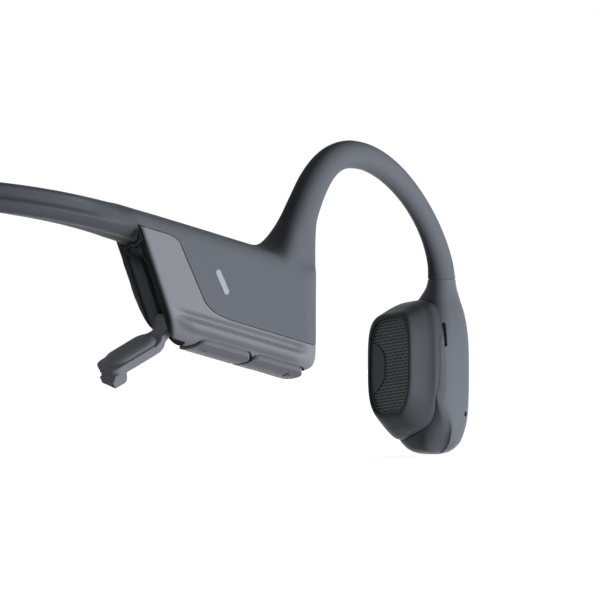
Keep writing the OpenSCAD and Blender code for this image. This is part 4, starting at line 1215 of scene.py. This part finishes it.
# %% Tree and mesh of the threads
def thread_tree(material):
    group = bpy.data.node_groups.new("grille_threads", "GeometryNodeTree")
    for way in ("INPUT", "OUTPUT"):
        group.interface.new_socket("Geometry", in_out=way, socket_type="NodeSocketGeometry")
    for name, value in THREAD_SIZES.items():
        kind = "NodeSocketInt" if isinstance(value, int) else "NodeSocketFloat"
        group.interface.new_socket(name, in_out="INPUT", socket_type=kind)
    tree = Nodes(group)
    size = {socket.name: Value(tree, socket) for socket in group.nodes.new("NodeGroupInput").outputs}
    line = tree.node("GeometryNodeCurvePrimitiveLine", {}, {"End": (1, 0, 0)})
    thread = tree.node("GeometryNodeResampleCurve", {}, {"Curve": line, "Count": 64})
    foot = tree.node("ShaderNodeCombineXYZ", {}, {"Z": (size["Rows"] - 1) * size["Pitch"] * -0.5})
    step = tree.node("ShaderNodeCombineXYZ", {}, {"Z": size["Pitch"]})
    row = {"Count": size["Rows"], "Start Location": foot, "Offset": step}
    rows = tree.node("GeometryNodeMeshLine", {}, row)
    copies = tree.node("GeometryNodeInstanceOnPoints", {}, {"Points": rows, "Instance": thread})
    threads = tree.node("GeometryNodeRealizeInstances", {}, {"Geometry": copies})
    moved = wavy_place(tree, size)
    shaped = tree.node("GeometryNodeSetPosition", {}, {"Geometry": threads, "Position": moved})
    section = {"Resolution": 6, "Radius": size["Thread Radius"]}
    round_section = tree.node("GeometryNodeCurvePrimitiveCircle", {}, section)
    tubes = {"Curve": shaped, "Profile Curve": round_section, "Fill Caps": True}
    mesh = tree.node("GeometryNodeCurveToMesh", {}, tubes)
    real = tree.node("GeometryNodeRealizeInstances", {}, {"Geometry": mesh})
    painted = tree.node("GeometryNodeSetMaterial", {}, {"Geometry": real, "Material": material})
    group.links.new(painted.socket, group.nodes.new("NodeGroupOutput").inputs["Geometry"])
    return group


def grille_threads(name):
    made = bpy.data.objects.new(name, bpy.data.meshes.new(name))
    scene.collection.objects.link(made)
    nodes = made.modifiers.new("threads", "NODES")
    nodes.node_group = thread_tree(finishes["grille_thread"])
    for socket in nodes.node_group.interface.items_tree:
        if socket.in_out == "INPUT" and socket.name in THREAD_SIZES:
            nodes[socket.identifier] = THREAD_SIZES[socket.name]
    settle(made)
    flat = corners(made)
    set_corners(made, grille_view.point(np.column_stack([flat[:, 0], flat[:, 2], 3.68 - flat[:, 1]])))
    if volume(made) < 0:
        made.data.flip_normals()
    return skewed(made)


threads = grille_threads("right_grille_threads")
left_threads = mirrored(threads, "left_grille_threads")
print("threads", len(threads.data.polygons), "faces")

# %% [markdown]
# On the cheek side a rubber pad presses on the bone, and on the left casing the multifunction button
# stands a little proud of its opening. Both are slots with softly crowned faces. A bevel would leave
# the face flat, so the plain prism is remeshed and averaged, which rounds it all over.


# %% Cheek pads and multifunction button
def softened(name, outline, low, high, axes, size, rounds):
    return ease(even(prism(name, outline, low, high, axes), size), rounds, shrink=True)


pad = softened("right_cheek_pad", stadium(4.78, 14.38), -7.82, -6.1, pad_view, 0.16, 9)
left_pad = mirrored(pad, "left_cheek_pad")
button = softened("button", stadium(3.02, 7.02), 6.2, 7.82, pad_view, 0.12, 7)
left_button = mirrored(button, "multifunction_key")
opening = prism("opening", stadium(3.3, 7.3), 5.7, 12, pad_view)
combine(left_shell, mirrored(opening, "button_opening"))
for drawn in (button, opening):
    bpy.data.objects.remove(drawn)
print("cheek pad", round(volume(pad), 1), "button", round(volume(left_button), 1), "cubic mm")

# %% [markdown]
# All pieces of the two transducers are ready now. The casing's ridge is a low one,
# so its edges stay crisp from a smaller angle on than those of the other pieces.

# %% Place the transducer pieces
RIDGE_ANGLE = 18
right_pieces = (shell, boss, plate, threads, pad)
left_pieces = (left_shell, left_boss, left_plate, left_threads, left_pad)
for side, pieces in (("right", right_pieces), ("left", left_pieces)):
    casing, surround, face, strands, cushion = pieces
    done(casing, "satin_casing", "headset", [side + "_transducer_shell"], RIDGE_ANGLE)
    done(surround, "satin_surround", "headset", [side + "_speaker_housing"])
    done(face, "grille_plate", "headset", [side + "_speaker_grille"])
    done(strands, "grille_thread", "headset", [])
    done(cushion, "pad_rubber", "headset", [side + "_contact_pad"])
done(left_button, "key_cap", "multifunction_button", ["multifunction_button"])

# %% [markdown]
# The flap that closes the port hangs open on its strap. It is one rubber moulding: a hinge barrel held
# in the recess, a bent strap, a plate, a rounded plug that fills the port, and a lip for the finger.
# It is drawn closed on the end face, where it has to fit, and turned open about the barrel.
# The joined solids are remeshed and eased, so they run into each other as rubber does.

# %% Port flap
FLAP_OPEN = math.radians(94)
BARREL_R, BARREL_HALF = 0.98, 2.78
STRAP_R, STRAP_START, STRAP_BEND, STRAP_T = 8, -4.6, 41, 1.19
FLAP_HALF_W, FLAP_FACE, PLATE_UNDER = 2.95, -0.03, -1.36
# Each plug level: depth, width, length.
PLUG_LEVELS = [
    (-1.2, 5.3, 9.0), (-1.5, 5.2, 8.9), (-1.8, 4.8, 8.5), (-2.05, 4.0, 7.9),
    (-2.2, 3.2, 7.3), (-2.32, 2.2, 6.4), (-2.36, 1.2, 5.4),
]
FLAP_SIDE = [(1.65, -12), (1.7, -7.2), (2.6, -6.2), (2.95, -5.2)]
LIP = [
    (0.9, -0.4), (0.9, 0.2), (1.05, 0.8), (1.4, 1.2), (1.9, 1.3),
    (3.5, 1.3), (3.55, 0.2), (3.2, 0.1), (2.9, -0.4),
]
opened = (0, math.cos(FLAP_OPEN), math.sin(FLAP_OPEN))
barrel_view = end_view.view(X, opened, (0, BARREL_UP, -BARREL_IN))
flap_view = barrel_view.view(X, Y, (0, -BARREL_UP, BARREL_IN))
flap_side = flap_view.view(Y, Z)


def strap_line(radius, start):
    bend = np.radians(np.linspace(0, STRAP_BEND, 16))
    along = STRAP_START - radius * np.sin(bend)
    return np.column_stack([along, start - radius * (1 - np.cos(bend))]).tolist()


strip = strap_line(STRAP_R, FLAP_FACE) + strap_line(STRAP_R - STRAP_T, -1.2)[::-1]
strip += [(-4.8, PLATE_UNDER), (3, PLATE_UNDER), (3, FLAP_FACE)]
flap = prism("port_flap", strip, -FLAP_HALF_W, FLAP_HALF_W, flap_side)
plan = arc((1.45, 1.5), 1.5, 0, 90) + arc((-1.45, 1.5), 1.5, 90, 180)
plan += [(-u, v) for u, v in FLAP_SIDE[::-1]] + FLAP_SIDE
cut(flap, "plan", plan, -9, 9, flap_view, "INTERSECT")
plug_rings = []
for depth, width, length in PLUG_LEVELS:
    outline = bar(width, length, 0.48 * width, (0, -2.1))
    plug_rings.append(flap_view.point([(u, v, depth) for u, v in outline]))
combine(flap, loft("plug", plug_rings), "UNION")
barrel_axes = flap_view.view(Y, Z, (0, BARREL_UP, -BARREL_IN))
cut(flap, "barrel", barrel_outline(BARREL_R), -BARREL_HALF, BARREL_HALF, barrel_axes, "UNION")
cut(flap, "lip", LIP, -1.3, 2.9, flap_side, "UNION")
ease(even(flap, 0.11), 5)
done(flap, "flap_rubber", "port_cover", ["port_cover"], 50)

# %% [markdown]
# The two volume keys lie end to end under the pod, with faces as round as the pod's bottom.
# Each carries a recessed mark of its use, a minus and a plus. The marks are cut after the easing,
# so that they stay crisp.

# %% Volume keys
KEY_ROUND, MARK_DEEP, MARK_LEAN = 5.7, 0.22, math.radians(33)
key_round = arc((0, ROUND_Z), KEY_ROUND, 0, 357, 119)


def volume_key(name, node, marks):
    key = prism(name, key_outline(KEY_Y[node]), -KEY_ROUND, -3.4, keys_view)
    cut(key, "key_round", key_round, -FAR, FAR, front_view, "INTERSECT")
    ease(even(key, 0.1), 5)
    for outline, y in marks:
        axes = pod.view(Y, (math.cos(MARK_LEAN), 0, math.sin(MARK_LEAN)), (0, y, ROUND_Z))
        cut(key, "mark", outline, KEY_ROUND - MARK_DEEP, 7, axes)
    done(key, "key_cap", node, [node], 30)


dash = lying(0.34, 1.5)
volume_key("volume_down_key", "volume_down_button", [(dash, -3.6)])
volume_key("volume_up_key", "volume_up_button", [(dash, 12), (stadium(0.34, 1.5), 12)])

# %% [markdown]
# The status light shines through a milky window in the slanted slit. The real one is a light guide
# pressed in from behind, so it is one prism from the board out, and it stands a hair proud of the skin.

# %% Status light window
window = prism("status_window", lying(0.84, 4.34), 1.2, 5.34, light_view)
done(window, "light_window", "headset", ["led_window"], 30)

# %% [markdown]
# The pieces inside keep their CAD shapes, which are right as they are. They could be modelled again
# with more detail, but they hardly show, so only their material slots are filled.

# %% Finishes of the pieces inside
INSIDE = {
    "neckband_spring_wire": "spring_wire", "neckband_cable": "cable_jacket",
    "usb_shell": "drawn_steel", "usb_tongue": "connector_core", "usb_contacts": "gold_contact",
    "button_seal": "seal_membrane", "volume_down_switch": "switch_body", "volume_up_switch": "switch_body",
    "switch_board": "circuit_board", "main_board": "circuit_board", "battery_board": "circuit_board",
    "radio_module": "shield_can", "led_emitter": "light_emitter", "battery_cell": "cell_foil",
    "multifunction_switch": "switch_body",
}
BOTH_SIDES = {
    "hook_wire": "spring_wire", "hook_cable": "cable_jacket", "wire_clamp": "stamped_metal",
    "speaker_frame": "speaker_frame", "speaker_diaphragm": "diaphragm_film",
    "speaker_magnet": "plated_magnet", "driver_yoke": "drawn_steel", "driver_magnet": "plated_magnet",
    "driver_coil": "coil_winding", "driver_spring": "spring_wire", "microphone": "shield_can",
}
for name, finish in BOTH_SIDES.items():
    INSIDE["right_" + name] = finish
    INSIDE["left_" + name] = finish
for name, finish in INSIDE.items():
    for slot in frame["nodes"][name].material_slots:
        slot.material = finishes[finish]
print(len(INSIDE), "inner pieces finished")

# %% [markdown]
# The object stands in a plain white studio. More light would make the floor white, but the object pale.
# Instead the floor has a glow of its own, nearly white near the object and white further out,
# with its own shading on top. It throws no light on the object and lets the low lamps through.
# The world looks white to the camera and in reflections, and gives only a faint light all round.

# %% Floor and backdrop
WHITE = (1, 1, 1, 1)
FLOOR_HALF, FLOOR_DROP = 9, 0.0003
WORLD_LIGHT = 0.07


def seen_directly(tree):
    rays = ("Is Camera Ray", "Is Glossy Ray", "Is Transmission Ray")
    seen = [tree.node("ShaderNodeLightPath", {}, {}, ray) for ray in rays]
    return seen[0].math("MINIMUM", seen[0] + seen[1] + seen[2], 1.0)


floor_material = bpy.data.materials.new("studio_floor")
floor_material.use_nodes = True
floor_tree = Nodes(floor_material.node_tree)
floor_tree.tree.nodes.clear()
pale = floor_tree.node("ShaderNodeBsdfDiffuse", {}, {"Color": (0.85, 0.85, 0.85, 1)})
spot = floor_tree.node("ShaderNodeTexCoord", {}, {}, "Object")
away = floor_tree.node("ShaderNodeVectorMath", {"operation": "LENGTH"}, {0: spot}, "Value")
span = {"Value": away, "From Min": 0.1, "From Max": 0.45, "To Min": 0.9, "To Max": 1.0}
far_white = floor_tree.node("ShaderNodeMapRange", {"interpolation_type": "SMOOTHSTEP"}, span)
glow = floor_tree.node("ShaderNodeEmission", {}, {"Color": WHITE, "Strength": far_white})
white = floor_tree.node("ShaderNodeAddShader", {}, {0: pale, 1: glow})
floor_tree.node("ShaderNodeOutputMaterial", {}, {"Surface": white})
square = box(-FLOOR_HALF, FLOOR_HALF, -FLOOR_HALF, FLOOR_HALF)
floor = make("studio_floor", [(x, y, 0) for x, y in square], [(0, 1, 2, 3)])
floor.data.materials.append(floor_material)
floor.location.z = -FLOOR_DROP
floor.visible_shadow = False
floor.visible_diffuse = False

world = bpy.data.worlds.new("studio")
scene.world = world
world.use_nodes = True
world_tree = Nodes(world.node_tree)
world.node_tree.nodes.clear()
strength = WORLD_LIGHT + (1 - WORLD_LIGHT) * seen_directly(world_tree)
sky = world_tree.node("ShaderNodeBackground", {}, {"Color": WHITE, "Strength": strength})
world_tree.node("ShaderNodeOutputWorld", {}, {"Surface": sky})
print("studio ready")

# %% [markdown]
# A large soft lamp stands to the right, slightly below level, as the photograph's shading shows: the end face
# and the grille turn away from it and go dark, and the end face has painted shade too. A weaker lamp lights
# the far side, and a faint one hangs above. A narrow spot lamp picks out the open flap, which the pod keeps in
# shade.

# %% Lamps
MIDDLE = (0, 0.01, 0.025)


def lamp(name, way, distance, size, power, target=MIDDLE, kind="AREA"):
    data = bpy.data.lights.new(name, kind)
    if kind == "AREA":
        data.shape = "DISK"
        data.size = size
    else:
        data.shadow_soft_size = size
    data.energy = power
    made = bpy.data.objects.new(name, data)
    back = unit(way)
    across = np.cross(Z, back)
    turn = np.eye(4)
    turn[:3, :3] = Axes((0, 0, 0), across, np.cross(back, across)).turn.T
    turn[:3, 3] = np.array(target) + back * distance
    made.matrix_world = turn.T.tolist()
    scene.collection.objects.link(made)
    return made


lamp("key_lamp", (0.86, 0.22, -0.2), 0.9, 0.5, 8.4)
lamp("far_lamp", (-0.6, 0.75, -0.3), 1.1, 0.8, 11.0)
lamp("top_lamp", (0.1, 0.3, 1.0), 1.2, 1.0, 0.9)
flap_middle = flap_view.point((0, -2, -1)) * MM
flap_lamp = lamp("flap_lamp", (0.2, -0.9, 0.39), 0.6, 0.02, 7.0, flap_middle, "SPOT")
flap_lamp.data.spot_size = math.radians(2.6)
flap_lamp.data.spot_blend = 0.5
print("four lamps")
